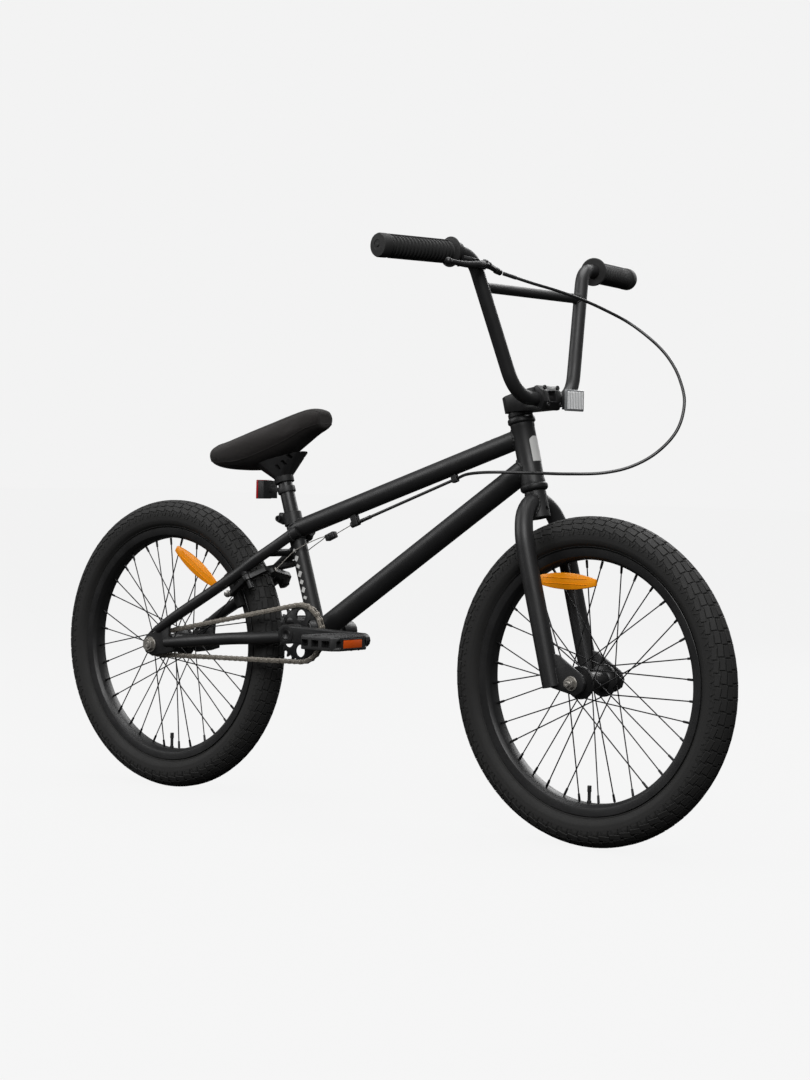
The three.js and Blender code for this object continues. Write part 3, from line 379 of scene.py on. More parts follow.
def turned(name: str, profile: Profile, base: Vector, axis: Vector, steps: int = 64) -> bpy.types.Object:
    """Spins a closed profile of (radius, height) points about an axis.

    Args:
        name: The piece's name.
        profile: Outline points in order.
        base: Where height 0 is.
        axis: Which way height grows.
        steps: Faces round the axis.

    Returns:
        The new piece.
    """
    deselect()
    bpy.ops.mesh.primitive_circle_add(vertices=len(profile), radius=1, fill_type="NOTHING")
    piece = bpy.context.object
    for vertex, (radius, height) in zip(piece.data.vertices, profile):
        vertex.co = Vector((radius, 0, height)) * MM
    bpy.ops.object.mode_set(mode="EDIT")
    bpy.ops.mesh.select_all(action="SELECT")
    bpy.ops.mesh.spin(steps=steps, angle=TURN, center=(0, 0, 0), axis=(0, 0, 1))
    bpy.ops.object.mode_set(mode="OBJECT")
    piece.data.transform(moved(base) @ along_axis(axis).to_matrix().to_4x4())
    return heal(settle(piece, name))


def rod(name: str, start: Vector, end: Vector, radius: float, sides: int = 40,
        end_radius: Optional[float] = None) -> bpy.types.Object:
    """Adds a round bar between two points, which may taper.

    Args:
        name: The piece's name.
        start: One end.
        end: The other end.
        radius: Its radius at the start.
        sides: Faces round it.
        end_radius: Its radius at the end, if it tapers.

    Returns:
        The new piece.
    """
    deselect()
    run = end - start
    bpy.ops.mesh.primitive_cone_add(
        vertices=sides, radius1=radius * MM, radius2=(radius if end_radius is None else end_radius) * MM,
        depth=run.length * MM, location=(start + end) / 2 * MM, rotation=along_axis(run).to_euler())
    return settle(bpy.context.object, name)


def block(name: str, centre: Vector, size: Sequence[float], lift: float = 0) -> bpy.types.Object:
    """Adds a box, its front lifted by an angle in radians."""
    deselect()
    bpy.ops.mesh.primitive_cube_add(size=1, location=centre * MM, rotation=(0, -lift, 0))
    bpy.context.object.scale = [s * MM for s in size]
    return settle(bpy.context.object, name)


def tube(name: str, points: Points, radius: float, sides: int = 24, closed: bool = False,
         swell: Optional[Callable[[int], float]] = None) -> bpy.types.Object:
    """Runs a round section along a path.

    Args:
        name: The piece's name.
        points: The path.
        radius: The section's radius.
        sides: Faces round it.
        closed: Whether the path is a loop.
        swell: Gives the radius's factor at a point.

    Returns:
        The new piece.
    """
    deselect()
    bpy.ops.curve.primitive_nurbs_path_add()
    piece = bpy.context.object
    curve = piece.data
    curve.dimensions = "3D"
    spline = curve.splines[0]
    spline.type = "POLY"
    spline.points.add(max(0, len(points) - len(spline.points)))
    for i, point in enumerate(points):
        spline.points[i].co = (*(point * MM), 1)
        spline.points[i].radius = swell(i) if swell else 1.0
    spline.use_cyclic_u = closed
    curve.bevel_depth = radius * MM
    curve.bevel_resolution = (sides - 4) // 2
    curve.use_fill_caps = not closed
    piece.location = (0, 0, 0)
    bpy.ops.object.convert(target="MESH")
    return heal(settle(bpy.context.object, name))


def prism(name: str, outline: Profile, low: float, high: float, round_off: float = 0.5) -> bpy.types.Object:
    """Extrudes a flat outline of (x, z) points between two Y planes.

    Args:
        name: The piece's name.
        outline: Points in order.
        low: The right-hand face's Y.
        high: The left-hand face's Y.
        round_off: The edges' rounding.

    Returns:
        The new piece.
    """
    deselect()
    bpy.ops.mesh.primitive_circle_add(vertices=len(outline), radius=1, fill_type="NGON")
    piece = bpy.context.object
    for vertex, (x, z) in zip(piece.data.vertices, outline):
        vertex.co = Vector((x, low, z)) * MM
    bpy.ops.object.mode_set(mode="EDIT")
    bpy.ops.mesh.select_all(action="SELECT")
    bpy.ops.mesh.extrude_region_move(TRANSFORM_OT_translate={"value": (0, (high - low) * MM, 0)})
    bpy.ops.object.mode_set(mode="OBJECT")
    heal(settle(piece, name))
    return bevelled(piece, round_off) if round_off else piece


def combined(piece: bpy.types.Object, other: bpy.types.Object, operation: str) -> None:
    """Applies a boolean with another piece and removes that one."""
    activate(piece)
    change = piece.modifiers.new("change", "BOOLEAN")
    change.operation, change.solver, change.object = operation, "EXACT", other
    bpy.ops.object.modifier_apply(modifier=change.name)
    bpy.data.objects.remove(other, do_unlink=True)


def carved(piece: bpy.types.Object, *cutters: bpy.types.Object) -> bpy.types.Object:
    """Cuts pieces out of another and removes them."""
    for cutter in cutters:
        combined(piece, cutter, "DIFFERENCE")
    return heal(piece)


def trimmed(piece: bpy.types.Object, keep: bpy.types.Object) -> bpy.types.Object:
    """Keeps only what lies within another piece, which is removed."""
    combined(piece, keep, "INTERSECT")
    return piece


def joined(name: str, *pieces: bpy.types.Object) -> bpy.types.Object:
    """Puts several pieces in one mesh."""
    activate(pieces[0])
    for piece in pieces:
        piece.select_set(True)
    bpy.ops.object.join()
    pieces[0].name = name
    pieces[0].data.name = name
    return pieces[0]


def copies(name: str, pattern: bpy.types.Object, places: Sequence[Matrix]) -> bpy.types.Object:
    """Repeats a piece at several places, in metres, and puts the copies in one mesh.

    Args:
        name: The new piece's name.
        pattern: The piece to repeat; it is removed.
        places: A matrix for each copy.

    Returns:
        The new piece.
    """
    made = []
    for place in places:
        twin = pattern.copy()
        twin.data = pattern.data.copy()
        twin.data.transform(place)
        bpy.context.collection.objects.link(twin)
        made.append(twin)
    bpy.data.objects.remove(pattern, do_unlink=True)
    return joined(name, *made)


def refined(name: str, node: str, width: float = 0.5, segments: int = 2) -> bpy.types.Object:
    """Copies a CAD node, clears its flat faces of triangles and rounds its edges.

    Args:
        name: The new piece's name.
        node: The CAD node.
        width: The rounding's width.
        segments: Faces across it.

    Returns:
        The new piece.
    """
    activate(frame["nodes"][node])
    bpy.ops.object.duplicate()
    piece = bpy.context.object
    piece.parent = None
    heal(settle(piece, name), 0.01)
    bpy.ops.object.mode_set(mode="EDIT")
    bpy.ops.mesh.select_all(action="SELECT")
    bpy.ops.mesh.dissolve_limited(angle_limit=math.radians(1.5))
    bpy.ops.object.mode_set(mode="OBJECT")
    return bevelled(piece, width, segments, 25)


def dressed(piece: bpy.types.Object, finish: Finish, body: str, *nodes: str,
            smooth: float = 32) -> bpy.types.Object:
    """Shades a finished piece, gives it its finish and hangs it on its body.

    Args:
        piece: The mesh.
        finish: Its finish.
        body: The CAD body it moves with, or nothing to leave it unattached.
        nodes: The CAD nodes it stands for.
        smooth: Edges flatter than this many degrees are shaded smooth.

    Returns:
        The piece.
    """
    activate(piece)
    bpy.ops.object.shade_smooth_by_angle(angle=math.radians(smooth))
    piece.data.materials.clear()
    piece.data.materials.append(finish.material())
    if body:
        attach(piece, body)
    if nodes:
        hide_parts(*nodes)
    LOG.info("%s: %d faces", piece.name, len(piece.data.polygons))
    return piece


def smooth_path(points: Points, steps: int) -> list[Vector]:
    """Runs a centripetal Catmull-Rom curve through points.

    Args:
        points: The points to pass through.
        steps: How many equal steps to divide it into.

    Returns:
        Evenly spaced points.
    """
    padded = [points[0] * 2 - points[1], *points, points[-1] * 2 - points[-2]]
    dense: list[Vector] = []
    for p0, p1, p2, p3 in zip(padded, padded[1:], padded[2:], padded[3:]):
        t1 = (p1 - p0).length ** 0.5
        t2 = t1 + (p2 - p1).length ** 0.5
        t3 = t2 + (p3 - p2).length ** 0.5
        for k in range(16):
            t = t1 + (t2 - t1) * k / 16
            a1 = p0 * ((t1 - t) / t1) + p1 * (t / t1)
            a2 = p1 * ((t2 - t) / (t2 - t1)) + p2 * ((t - t1) / (t2 - t1))
            a3 = p2 * ((t3 - t) / (t3 - t2)) + p3 * ((t - t2) / (t3 - t2))
            b1 = a1 * ((t2 - t) / t2) + a2 * (t / t2)
            b2 = a2 * ((t3 - t) / (t3 - t1)) + a3 * ((t - t1) / (t3 - t1))
            dense.append(b1 * ((t2 - t) / (t2 - t1)) + b2 * ((t - t1) / (t2 - t1)))
    return evenly([*dense, points[-1]], steps)


def evenly(points: Points, steps: int) -> list[Vector]:
    """Divides a path of straight runs into equal steps."""
    runs = [(b - a).length for a, b in zip(points, points[1:])]
    total = sum(runs)
    made, i, passed = [], 0, 0.0
    for k in range(steps):
        goal = total * k / steps
        while passed + runs[i] < goal:
            passed += runs[i]
            i += 1
        made.append(points[i].lerp(points[i + 1], (goal - passed) / runs[i]))
    return [*made, points[-1]]


def rounded_path(corners: Points, bends: Sequence[float], parts: int = 12) -> list[Vector]:
    """Joins straight runs by bends that start a distance back from each inner corner."""
    path = [corners[0]]
    for i, bend in enumerate(bends, start=1):
        corner = corners[i]
        before = corner + (corners[i - 1] - corner).normalized() * bend
        after = corner + (corners[i + 1] - corner).normalized() * bend
        for k in range(parts + 1):
            t = k / parts
            path.append(before * (1 - t) ** 2 + corner * (2 * t * (1 - t)) + after * t**2)
    return [*path, corners[-1]]


def saddle(start: Vector, end: Vector, radius: float, onto: Vector, onto_axis: Vector, onto_radius: float,
           count: int = 90) -> list[Vector]:
    """Finds the line where one round tube meets another.

    Args:
        start: The far end of the tube that is welded on.
        end: The end that lies inside the other tube.
        radius: Its radius.
        onto: A point on the other tube's axis.
        onto_axis: The other tube's direction.
        onto_radius: The other tube's radius.
        count: Points round the line.

    Returns:
        The line's points, in order.
    """
    run = (end - start).normalized()
    side = run.cross(ACROSS if abs(run.y) < 0.9 else Vector((0, 0, 1))).normalized()
    other = run.cross(side)
    axis = onto_axis.normalized()
    line = []
    for k in range(count):
        angle = TURN * k / count
        foot = start + side * (radius * math.cos(angle)) + other * (radius * math.sin(angle))
        gap = foot - onto
        gap -= axis * gap.dot(axis)
        step = run - axis * run.dot(axis)
        a, b, c = step.dot(step), 2 * gap.dot(step), gap.dot(gap) - onto_radius**2
        inside = b * b - 4 * a * c
        reach = (-b - math.sqrt(max(0.0, inside))) / (2 * a)
        line.append(foot + run * reach)
    return line


def weld(name: str, line: Points, radius: float = 2.3) -> bpy.types.Object:
    """Lays a rippled weld bead along a closed line."""
    return tube(name, line, radius, 10, True, lambda i: 1.0 + 0.16 * math.sin(i * TURN / 5))


def socket_bolt(name: str, head: Vector, axis: Vector, radius: float, height: float) -> bpy.types.Object:
    """Makes a round bolt head with a hexagonal socket.

    Args:
        name: The piece's name.
        head: The middle of the head's underside.
        axis: Which way the head faces.
        radius: The head's radius.
        height: The head's height.

    Returns:
        The new piece.
    """
    inner = radius * 0.5
    outline = [(0, 0), (radius, 0), (radius, height * 0.86), (radius * 0.93, height), (inner * 1.1, height),
               (inner, height * 0.9), (inner, height * 0.35), (0, height * 0.3)]
    return turned(name, outline, head, axis, 24)


# ------------------------------------------------------------------ wheels


@dataclass
class Wheel:
    """A spoked wheel: tyre with its tread, rim, spokes, hub, valve, spoke reflector, axle and nuts."""

    prefix: str
    axle: Vector
    fixed_body: str
    flange: float
    barrel: float
    bore: float
    hub_end: float
    axle_radius: float
    axle_end: float
    nut_face: float
    nut_thickness: float
    nut_radius: float
    reflector_slope: float
    spoke_count: int = 36
    tyre_radius: float = 259.0
    section: float = 27.3
    flange_radius: float = 26.0
    tread_rows: int = 77
    column_turn: float = 0.372
    tread_reach: float = 26.15
    stagger: float = 0.3

    @property
    def body(self) -> str:
        """The CAD body that turns."""
        return f"{self.prefix}_wheel"

    def build(self) -> None:
        """Makes every piece of the wheel."""
        self.tyre()
        self.rim()
        self.spokes()
        self.hub()
        self.valve()
        self.reflector()
        self.axle_and_nuts()

    def around(self, angle: float) -> Matrix:
        """Returns the turn about the axle, in metres."""
        centre = moved(self.axle)
        return centre @ spun(angle, "Y") @ centre.inverted()

    def tyre(self) -> None:
        """Makes the carcass with its sidewall lines and the blocks of the tread."""
        middle = self.tyre_radius - 28
        outer, inner = self.section - 1.2, self.section - 4.2
        low = 0.83

        def arc(radius: float, start: float, stop: float, count: int) -> list[tuple[float, float]]:
            """Returns points on the section's arc between two angles, 0 being its left side."""
            angles = [start + (stop - start) * k / count for k in range(count + 1)]
            return [(middle + radius * math.sin(a), radius * math.cos(a)) for a in angles]

        side = [(203.5, 10), (203.5, 13.1), (208.8, 13.6), (210.4, 15.9), (211.6, 17.6), (212.4, 17.3)]
        wall = arc(outer + 0.5, -0.62, -0.3, 4) + arc(outer, -0.22, 0.1, 4) + arc(outer + 0.35, 0.14, 0.3, 2)
        crown = arc(outer, 0.36, math.pi - 0.36, 26)
        other = [(r, -y) for r, y in reversed(side + wall)]
        lining = arc(inner, math.pi + low - 0.12, -low + 0.12, 14)
        carcass = turned("carcass", side + wall + crown + other + lining, self.axle, ACROSS, 128)
        row = []
        for column in range(-3, 4):
            tilt = column * self.column_turn
            width = 9.0 if abs(column) < 3 else 8.2
            pad = block("pad", Vector((0, 0, 0)), (18.3, width, 3.2))
            bevelled(pad, 0.5, 1)
            place = (moved(self.axle + Vector((0, 0, middle))) @ spun(-tilt, "X")
                     @ moved(Vector((0, 0, self.tread_reach))) @ spun(0.07 * column, "Z"))
            pad.data.transform(place)
            if column % 2:
                pad.data.transform(self.around(self.stagger * math.pi / self.tread_rows))
            row.append(pad)
            if abs(column) == 3:
                for shift in (-0.25, 0.25):
                    rib = block("rib", Vector((0, 0, 0)), (1.6, 9.0, 1.8))
                    rib.data.transform(
                        self.around(shift * TURN / self.tread_rows + math.pi / self.tread_rows)
                        @ moved(self.axle + Vector((0, 0, middle)))
                        @ spun(-math.copysign(1.43, column), "X")
                        @ moved(Vector((0, 0, 26.2)))
                        @ spun(math.copysign(0.5, shift * column), "Z"))
                    row.append(rib)
        strip = joined("strip", *row)
        tread = copies("tread", strip, [self.around(TURN * k / self.tread_rows)
                                        for k in range(self.tread_rows)])
        dressed(joined(f"{self.prefix}_tyre_with_tread", carcass, tread), TYRE, self.body,
                f"{self.prefix}_tyre", smooth=28)

    def rim(self) -> None:
        """Makes the rim with its flanges and the valve's hole."""
        half = [(190.7, 0), (190.7, 8.4), (191.8, 11.2), (196.2, 15.9), (199.5, 16.8), (206.5, 17.2),
                (208.4, 17.4), (209, 16.9), (209, 15.6), (207.6, 15.1), (201.5, 13.7), (200.6, 8), (199.5, 0)]
        outline = half + [(r, -y) for r, y in reversed(half[1:-1])]
        rim = turned("rim", outline, self.axle, ACROSS, 144)
        hole = rod("hole", self.axle + Vector((0, 0, -185)), self.axle + Vector((0, 0, -215)), 4.4, 24)
        rim = carved(rim, hole)
        dressed(rim, ALLOY, self.body, f"{self.prefix}_rim", smooth=30)
        rim.name = f"{self.prefix}_rim_ring"

    def spokes(self) -> None:
        """Laces the crossing spokes, each with its bent head and its nipple."""
        made = []
        for i in range(self.spoke_count):
            side = -1 if i % 2 == 0 else 1
            lead = 1 if i % 4 < 2 else -1
            at_rim = (i + 0.5) / self.spoke_count * TURN
            at_hub = at_rim + lead * 1.12
            left = side * self.flange + lead * 2.4

            def polar(radius: float, angle: float, y: float) -> Vector:
                """Returns a point in the wheel's plane coordinates."""
                return self.axle + Vector((radius * math.cos(angle), y, radius * math.sin(angle)))

            hole = polar(self.flange_radius - 3.2, at_hub, side * self.flange)
            elbow = polar(self.flange_radius - 3.0, at_hub, left)
            tip = polar(190.6, at_rim, side * 2.0)
            run = (tip - elbow).normalized()
            made.append(tube("spoke", [hole, elbow, elbow + run * 2, tip - run * 12, tip], 1.05, 8))
            made.append(rod("nipple", tip - run * 13, tip - run * 1, 1.9, 10, 2.15))
        spokes = joined(f"{self.prefix}_spoke_set", *made)
        dressed(spokes, SPOKE, self.body, f"{self.prefix}_spokes", smooth=50)

    def hub(self) -> None:
        """Makes the hub shell with its flanges and stepped ends."""
        f, r = self.flange, self.flange_radius
        half = [(self.barrel, 0), (self.barrel - 0.6, f * 0.45), (self.barrel + 0.6, f - 6),
                (self.barrel + 4, f - 3.4), (r - 1, f - 2.2), (r, f - 1.2), (r, f + 1.2), (r - 1, f + 2.2),
                (self.barrel + 5, f + 2.6), (15.4, f + 3.6), (14.6, self.hub_end - 2.2),
                (13.8, self.hub_end - 0.6), (12.6, self.hub_end), (self.bore, self.hub_end)]
        outline = half + [(radius, -y) for radius, y in reversed(half[1:])]
        shell = turned("shell", outline, self.axle, ACROSS, 72)
        dressed(shell, ALLOY, self.body, f"{self.prefix}_hub", smooth=28)
        shell.name = f"{self.prefix}_hub_shell"

    def valve(self) -> None:
        """Makes the valve: stem, lock ring and ribbed cap."""
        base = self.axle + Vector((0, 0, -163))
        down = Vector((0, 0, -1))
        cap = [(0, 0), (2.9, 0), (3.4, 0.8), (3.4, 2.4), (3.0, 2.8), (3.4, 3.2), (3.4, 4.8), (3.0, 5.2),
               (3.4, 5.6), (3.4, 9.4), (2.7, 10.2), (2.7, 23), (3.6, 24), (3.6, 37), (0, 37)]
        valve = turned(f"{self.prefix}_valve_stem", cap, base, down, 24)
        dressed(valve, MOULDED, self.body, f"{self.prefix}_valve", smooth=40)

    def reflector(self) -> None:
        """Makes the spoke reflector: a bevelled lens with two ribs and two spoke clips."""
        node = f"{self.prefix}_wheel_reflector"
        low, high = (Vector(corner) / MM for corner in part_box(node))
        middle = (low + high) / 2
        turn = moved(Vector((middle.x, 0, middle.z))) @ spun(-self.reflector_slope, "Y")
        edge = [(x, 5.0 + 8.2 * (1 - (x / 59) ** 2)) for x in range(-58, 59, 4)]
        lens = prism(f"{self.prefix}_reflector_lens", [*edge, *[(x, -z) for x, z in reversed(edge)]],
                     low.y + 0.2, high.y, 1.2)
        lens.data.transform(turn)
        dressed(lens, AMBER, self.body, node)
        parts = []
        for x in (-24, 24):
            clip = block("clip", Vector((x, middle.y + 4.4, 0)), (5, 5, 15))
            parts.append(bevelled(clip, 0.8))
        for z in (-4.2, 4.8):
            rib = block("rib", Vector((0, low.y - 0.15, z)), (84, 0.9, 1.1))
            parts.append(bevelled(rib, 0.3, 1))
        back = joined(f"{self.prefix}_reflector_clip", *parts[:2])
        ribs = joined(f"{self.prefix}_reflector_ribs", *parts[2:])
        for piece, finish in ((back, MOULDED), (ribs, AMBER)):
            piece.data.transform(turn)
            dressed(piece, finish, self.body)

    def axle_and_nuts(self) -> None:
        """Makes the threaded axle's halves, the washers and the hexagon nuts."""
        r, end = self.axle_radius, self.axle_end
        for side, word in ((-1, "right"), (1, "left")):
            y = 20.0
            outline = [(0, 0), (r - 0.6, 0), (r - 0.6, y - 1)]
            while y < end - 1.6:
                outline += [(r - 0.7, y), (r - 0.05, y + 0.45), (r - 0.05, y + 0.6)]
                y += 1.05
            outline += [(r - 0.8, end), (1.6, end), (0, end - 1.4)]
            half = turned("half", outline, self.axle, ACROSS * side, 32)
            half.name = f"{self.prefix}_axle_{word}_half"
            dressed(half, STEEL, self.fixed_body, *((f"{self.prefix}_axle",) if side < 0 else ()), smooth=40)
            node = f"{self.prefix}_{word}_axle_nut"
            face = Vector((self.axle.x, side * self.nut_face, self.axle.z))
            bore = r + 0.15
            out = ACROSS * side
            wide = self.nut_radius + 2.5
            washer = turned("washer", [(bore, 0.05), (wide - 0.4, 0.05), (wide, 0.5), (wide, 1.7),
                                       (wide - 0.5, 2.2), (bore, 2.2)], face, out, 48)
            nut = rod("nut", face + out * 2.1, face + out * self.nut_thickness, self.nut_radius, 6)
            crown = turned("crown", [(0, 0), (self.nut_radius * 0.9, 0), (self.nut_radius * 1.02, 1.1),
                                     (self.nut_radius * 1.02, 40), (0, 40)],
                           face + out * (self.nut_thickness + 0.1), out * -1, 48)
            nut = trimmed(nut, crown)
            nut = carved(nut, rod("bore", face, face + out * 20, bore, 32))
            bevelled(nut, 0.3, 2)
            dressed(joined(f"{node}_set", washer, nut), STEEL, self.fixed_body, node)


# ------------------------------------------------------------------ frame


@dataclass
class FrontTriangle:
    """Head, top, down and seat tubes with the bottom bracket shell, welds, stop, clip and seat clamp."""

    body: str = "frame"
    head_low: float = 327.0
    head_high: float = 426.0
    head_radius: float = 19.0
    seat_tube_length: float = 214.0
    seat_tube_radius: float = 14.3
    top_front: Vector = field(default_factory=lambda: Vector((315, 0, 641)))
    top_rear: Vector = field(default_factory=lambda: Vector((-168, 0, 474)))
    top_radius: float = 15.9
    down_front: Vector = field(default_factory=lambda: Vector((329, 0, 595)))
    down_radius: float = 18.6

    def build(self) -> None:
        """Makes the tubes, beads and fittings."""
        self.tubes()
        self.markings()
        self.cups()
        self.clamp_bolt()

    def tubes(self) -> None:
        """Makes the welded tubes in one piece."""
        low = on_head(self.head_low)
        r = self.head_radius
        length = self.head_high - self.head_low
        head = turned("head", [(16.6, 0), (r + 0.6, 0), (r + 0.6, 5), (r, 7), (r, length - 7),
                               (r + 0.6, length - 5), (r + 0.6, length), (16.6, length)], low, HEAD_UP, 64)
        down_rear = BRACKET + Vector((0, 0, -2))
        top = rod("top", self.top_rear, self.top_front, self.top_radius, 56)
        down = rod("down", down_rear, self.down_front, self.down_radius, 56)
        rs, length = self.seat_tube_radius, self.seat_tube_length
        seat = turned("seat", [(13, 10), (rs, 10), (rs, length - 22), (rs + 2.2, length - 21),
                               (rs + 2.2, length - 0.8), (rs + 1.4, length), (13, length)],
                      BRACKET, SEAT_UP, 56)
        shell = turned("shell", [(18.9, -36.5), (21.6, -36.5), (22, -36), (22, 36), (21.6, 36.5),
                                 (18.9, 36.5)], BRACKET, ACROSS, 56)
        seat_top = on_seat_tube(length)
        beads = [
            weld("bead", saddle(self.top_rear, self.top_front, self.top_radius, low, HEAD_UP, r)),
            weld("bead", saddle(down_rear, self.down_front, self.down_radius, low, HEAD_UP, r)),
            weld("bead", saddle(self.top_front, self.top_rear, self.top_radius, seat_top, SEAT_UP, rs)),
            weld("bead", saddle(self.down_front, down_rear, self.down_radius, BRACKET, ACROSS, 22)),
            weld("bead", saddle(seat_top, BRACKET, rs, BRACKET, ACROSS, 22)),
        ]
        lugs = [
            self.lug(CABLE_STOP + Vector((0, 0, 9)), (13, 11, 26), CABLE_STOP, 4),
            self.lug(CABLE_CLIP + Vector((0, 0, 3)), (11, 9, 16), CABLE_CLIP, 3.6),
        ]
        ears = block("ears", on_seat_tube(length - 11) + Vector((-21, 0, 0)), (16, 17, 18), -0.32)
        bevelled(ears, 2.2, 3)
        bolt_at = self.bolt_line(0)
        ears = carved(
            ears,
            rod("bore", self.bolt_line(-20), self.bolt_line(20), 3.4, 24),
            rod("post", BRACKET, on_seat_tube(length + 9), rs, 48),
            block("slit", bolt_at, (40, 2.0, 60), -0.32),
        )
        whole = joined("front_triangle_tubes", head, top, down, seat, shell, *beads, *lugs, ears)
        dressed(whole, PAINT, self.body, "frame_front_triangle", smooth=40)

    @staticmethod
    def lug(centre: Vector, size: Sequence[float], hole: Vector, radius: float) -> bpy.types.Object:
        """Makes a welded-on cable guide with its bore."""
        guide = bevelled(block("guide", centre, size, 0.36), 1.6, 3)
        return carved(guide, rod("bore", hole - CABLE_LINE * 30, hole + CABLE_LINE * 30, radius, 24))

    def bolt_line(self, left: float) -> Vector:
        """Returns a point on the seat clamp bolt's axis."""
        point = on_seat_tube(self.seat_tube_length - 11) + Vector((-24, 0, 0))
        point.y = left
        return point

    def markings(self) -> None:
        """Lays plain pale bars and a blank badge where such bikes carry decoration."""
        bars = []
        run = (self.top_front - self.top_rear).normalized()
        lift = math.atan2(run.z, run.x)
        upward = Vector((-run.z, 0, run.x))
        for k in range(3):
            centre = self.top_front - run * (58 + 15 * k) + upward * (self.top_radius - 0.15)
            bars.append(bevelled(block("bar", centre, (9, 7, 0.7), lift), 0.2, 1))
        for k, height in enumerate((5, 9, 7, 10, 6, 9, 5)):
            centre = on_seat_tube(62 + 14 * k) - ACROSS * (self.seat_tube_radius - 0.15)
            bars.append(bevelled(block("bar", centre, (7, 0.7, height), -math.atan(0.333)), 0.2, 1))
        dressed(joined("plain_bars", *bars), MARKING, self.body)
        badge_low, badge_high = on_head(self.head_low + 34), on_head(self.head_high - 24)
        badge = rod("badge", badge_low, badge_high, self.head_radius + 0.55, 64)
        keep = block("keep", (badge_low + badge_high) / 2 + HEAD_FORWARD * 20, (22, 22, 60),
                     -math.asin(-HEAD_UP.x))
        dressed(heal(trimmed(badge, keep)), MARKING, self.body)
        badge.name = "blank_badge"

    def cups(self) -> None:
        """Makes the headset cups and the bottom bracket's bearing cups."""
        outline = [(15.2, -12), (16.5, -12), (16.5, 0.1), (19.6, 0.1), (22.1, 2.3), (22.3, 3), (22.3, 8),
                   (21.9, 8.8), (20.2, 11), (19.6, 11.3), (15.2, 11.3)]
        for word, up, way in (("lower", self.head_low, -1), ("upper", self.head_high, 1)):
            cup = turned(f"{word}_cup", outline, on_head(up), HEAD_UP * way, 64)
            dressed(cup, ALLOY, self.body, f"headset_{word}_cup")
        ring = [(10.1, -10), (18.2, -10), (18.2, 0.1), (20.6, 0.1), (21, 0.5), (21, 3.2), (20.2, 4),
                (13.4, 4), (13, 3.4), (10.1, 3.4)]
        for word, side in (("right", -1), ("left", 1)):
            cup = turned(f"{word}_cup", ring, BRACKET + ACROSS * (36.5 * side), ACROSS * side, 64)
            dressed(cup, ALLOY, self.body, f"{word}_bearing_cup")
            cup.name = f"{word}_bearing_ring"

    def clamp_bolt(self) -> None:
        """Makes the seat clamp's bolt with its socket head and nut."""
        shank = rod("shank", self.bolt_line(-10), self.bolt_line(12.5), 2.9, 24)
        head = socket_bolt("head", self.bolt_line(-8.8), ACROSS * -1, 5.4, 5.4)
        nut = bevelled(rod("nut", self.bolt_line(8.8), self.bolt_line(13.3), 5.4, 6), 0.35, 2)
        dressed(joined("clamp_bolt_set", shank, head, nut), FORGED, self.body, "seat_clamp_bolt")


@dataclass
class RearTriangle:
    """Seat stays, chain stays, bridges, brake studs and dropouts."""

    body: str = "frame"
    seat_stay_radius: float = 9.5
    chain_stay_radius: float = 10.6
    seat_stay: tuple[tuple[float, float, float], ...] = (
        (-150, -17, 473), (-158, -20, 468), (-188, -31, 445.5), (-230, -41, 417), (-268, -46, 390.5),
        (-340, -54, 346.5), (-400, -58.6, 311), (-440, -59.3, 287))
    chain_stay: tuple[tuple[float, float, float], ...] = (
        (-122, -22, 296), (-165, -28, 290), (-215, -41, 285), (-270, -48, 281), (-350, -56, 272),
        (-420, -58, 264.5))
    plate: tuple[tuple[float, float], ...] = (
        (-18, -5), (-18, 6), (-11, 15), (8, 32), (26, 44), (46, 42), (44, 16), (56, 12), (56, -8), (36, -14),
        (2, -19), (-11, -15))

    def build(self) -> None:
        """Makes the rear triangle in one piece."""
        parts = []
        for side in (-1, 1):
            flip: Callable[[Vector], Vector] = flipped if side > 0 else (lambda p: p)
            upper = smooth_path([flip(Vector(p)) for p in self.seat_stay], 26)
            lower = smooth_path([flip(Vector(p)) for p in self.chain_stay], 22)
            taper = [1.0] * (len(upper) - 4) + [0.97, 0.92, 0.86, 0.8]
            parts.append(tube("stay", upper, self.seat_stay_radius, 32, swell=lambda i: taper[i]))
            taper_low = [1.0] * (len(lower) - 4) + [0.97, 0.92, 0.86, 0.8]
            parts.append(tube("stay", lower, self.chain_stay_radius, 32, swell=lambda i: taper_low[i]))
            parts.append(self.dropout(side))
            stud = onto_stay(0, 0, 43.5 * side)
            parts.append(rod("stud", stud, onto_stay(0, 37, 43.5 * side), 5, 32))
            parts.append(turned("boss", [(0, -2), (8.4, 0), (8.0, 8), (6.4, 11.6), (0, 12)], stud, STUD_OUT,
                                40))
            parts.append(weld("bead", saddle(upper[3], upper[0], self.seat_stay_radius, on_seat_tube(180),
                                             SEAT_UP, 14.3), 1.9))
        parts += [
            rod("bridge", Vector((-172, -29, 289)), Vector((-172, 29, 289)), 6.5, 32),
            rod("bridge", Vector((-204, -34, 433)), Vector((-204, 34, 433)), 6.5, 32),
        ]
        dressed(joined("rear_triangle_stays", *parts), PAINT, self.body, "frame_rear_triangle", smooth=40)

    def dropout(self, side: int) -> bpy.types.Object:
        """Cuts one dropout plate with its axle hole and two small holes."""
        inner = 55 if side > 0 else -61
        outline = [(REAR_AXLE.x + x, REAR_AXLE.z + z) for x, z in self.plate]
        plate = prism("dropout", outline, inner, inner + 6, 0.9)
        cutters = []
        for x, z, radius in ((0, 0, 7.6), (6, 23, 3.2), (22, 29, 3.2)):
            at = REAR_AXLE + Vector((x, 0, z))
            cutters.append(rod("hole", at - ACROSS * 90, at + ACROSS * 90, radius, 32))
        return carved(plate, *cutters)


# ------------------------------------------------------------------ fork and steering


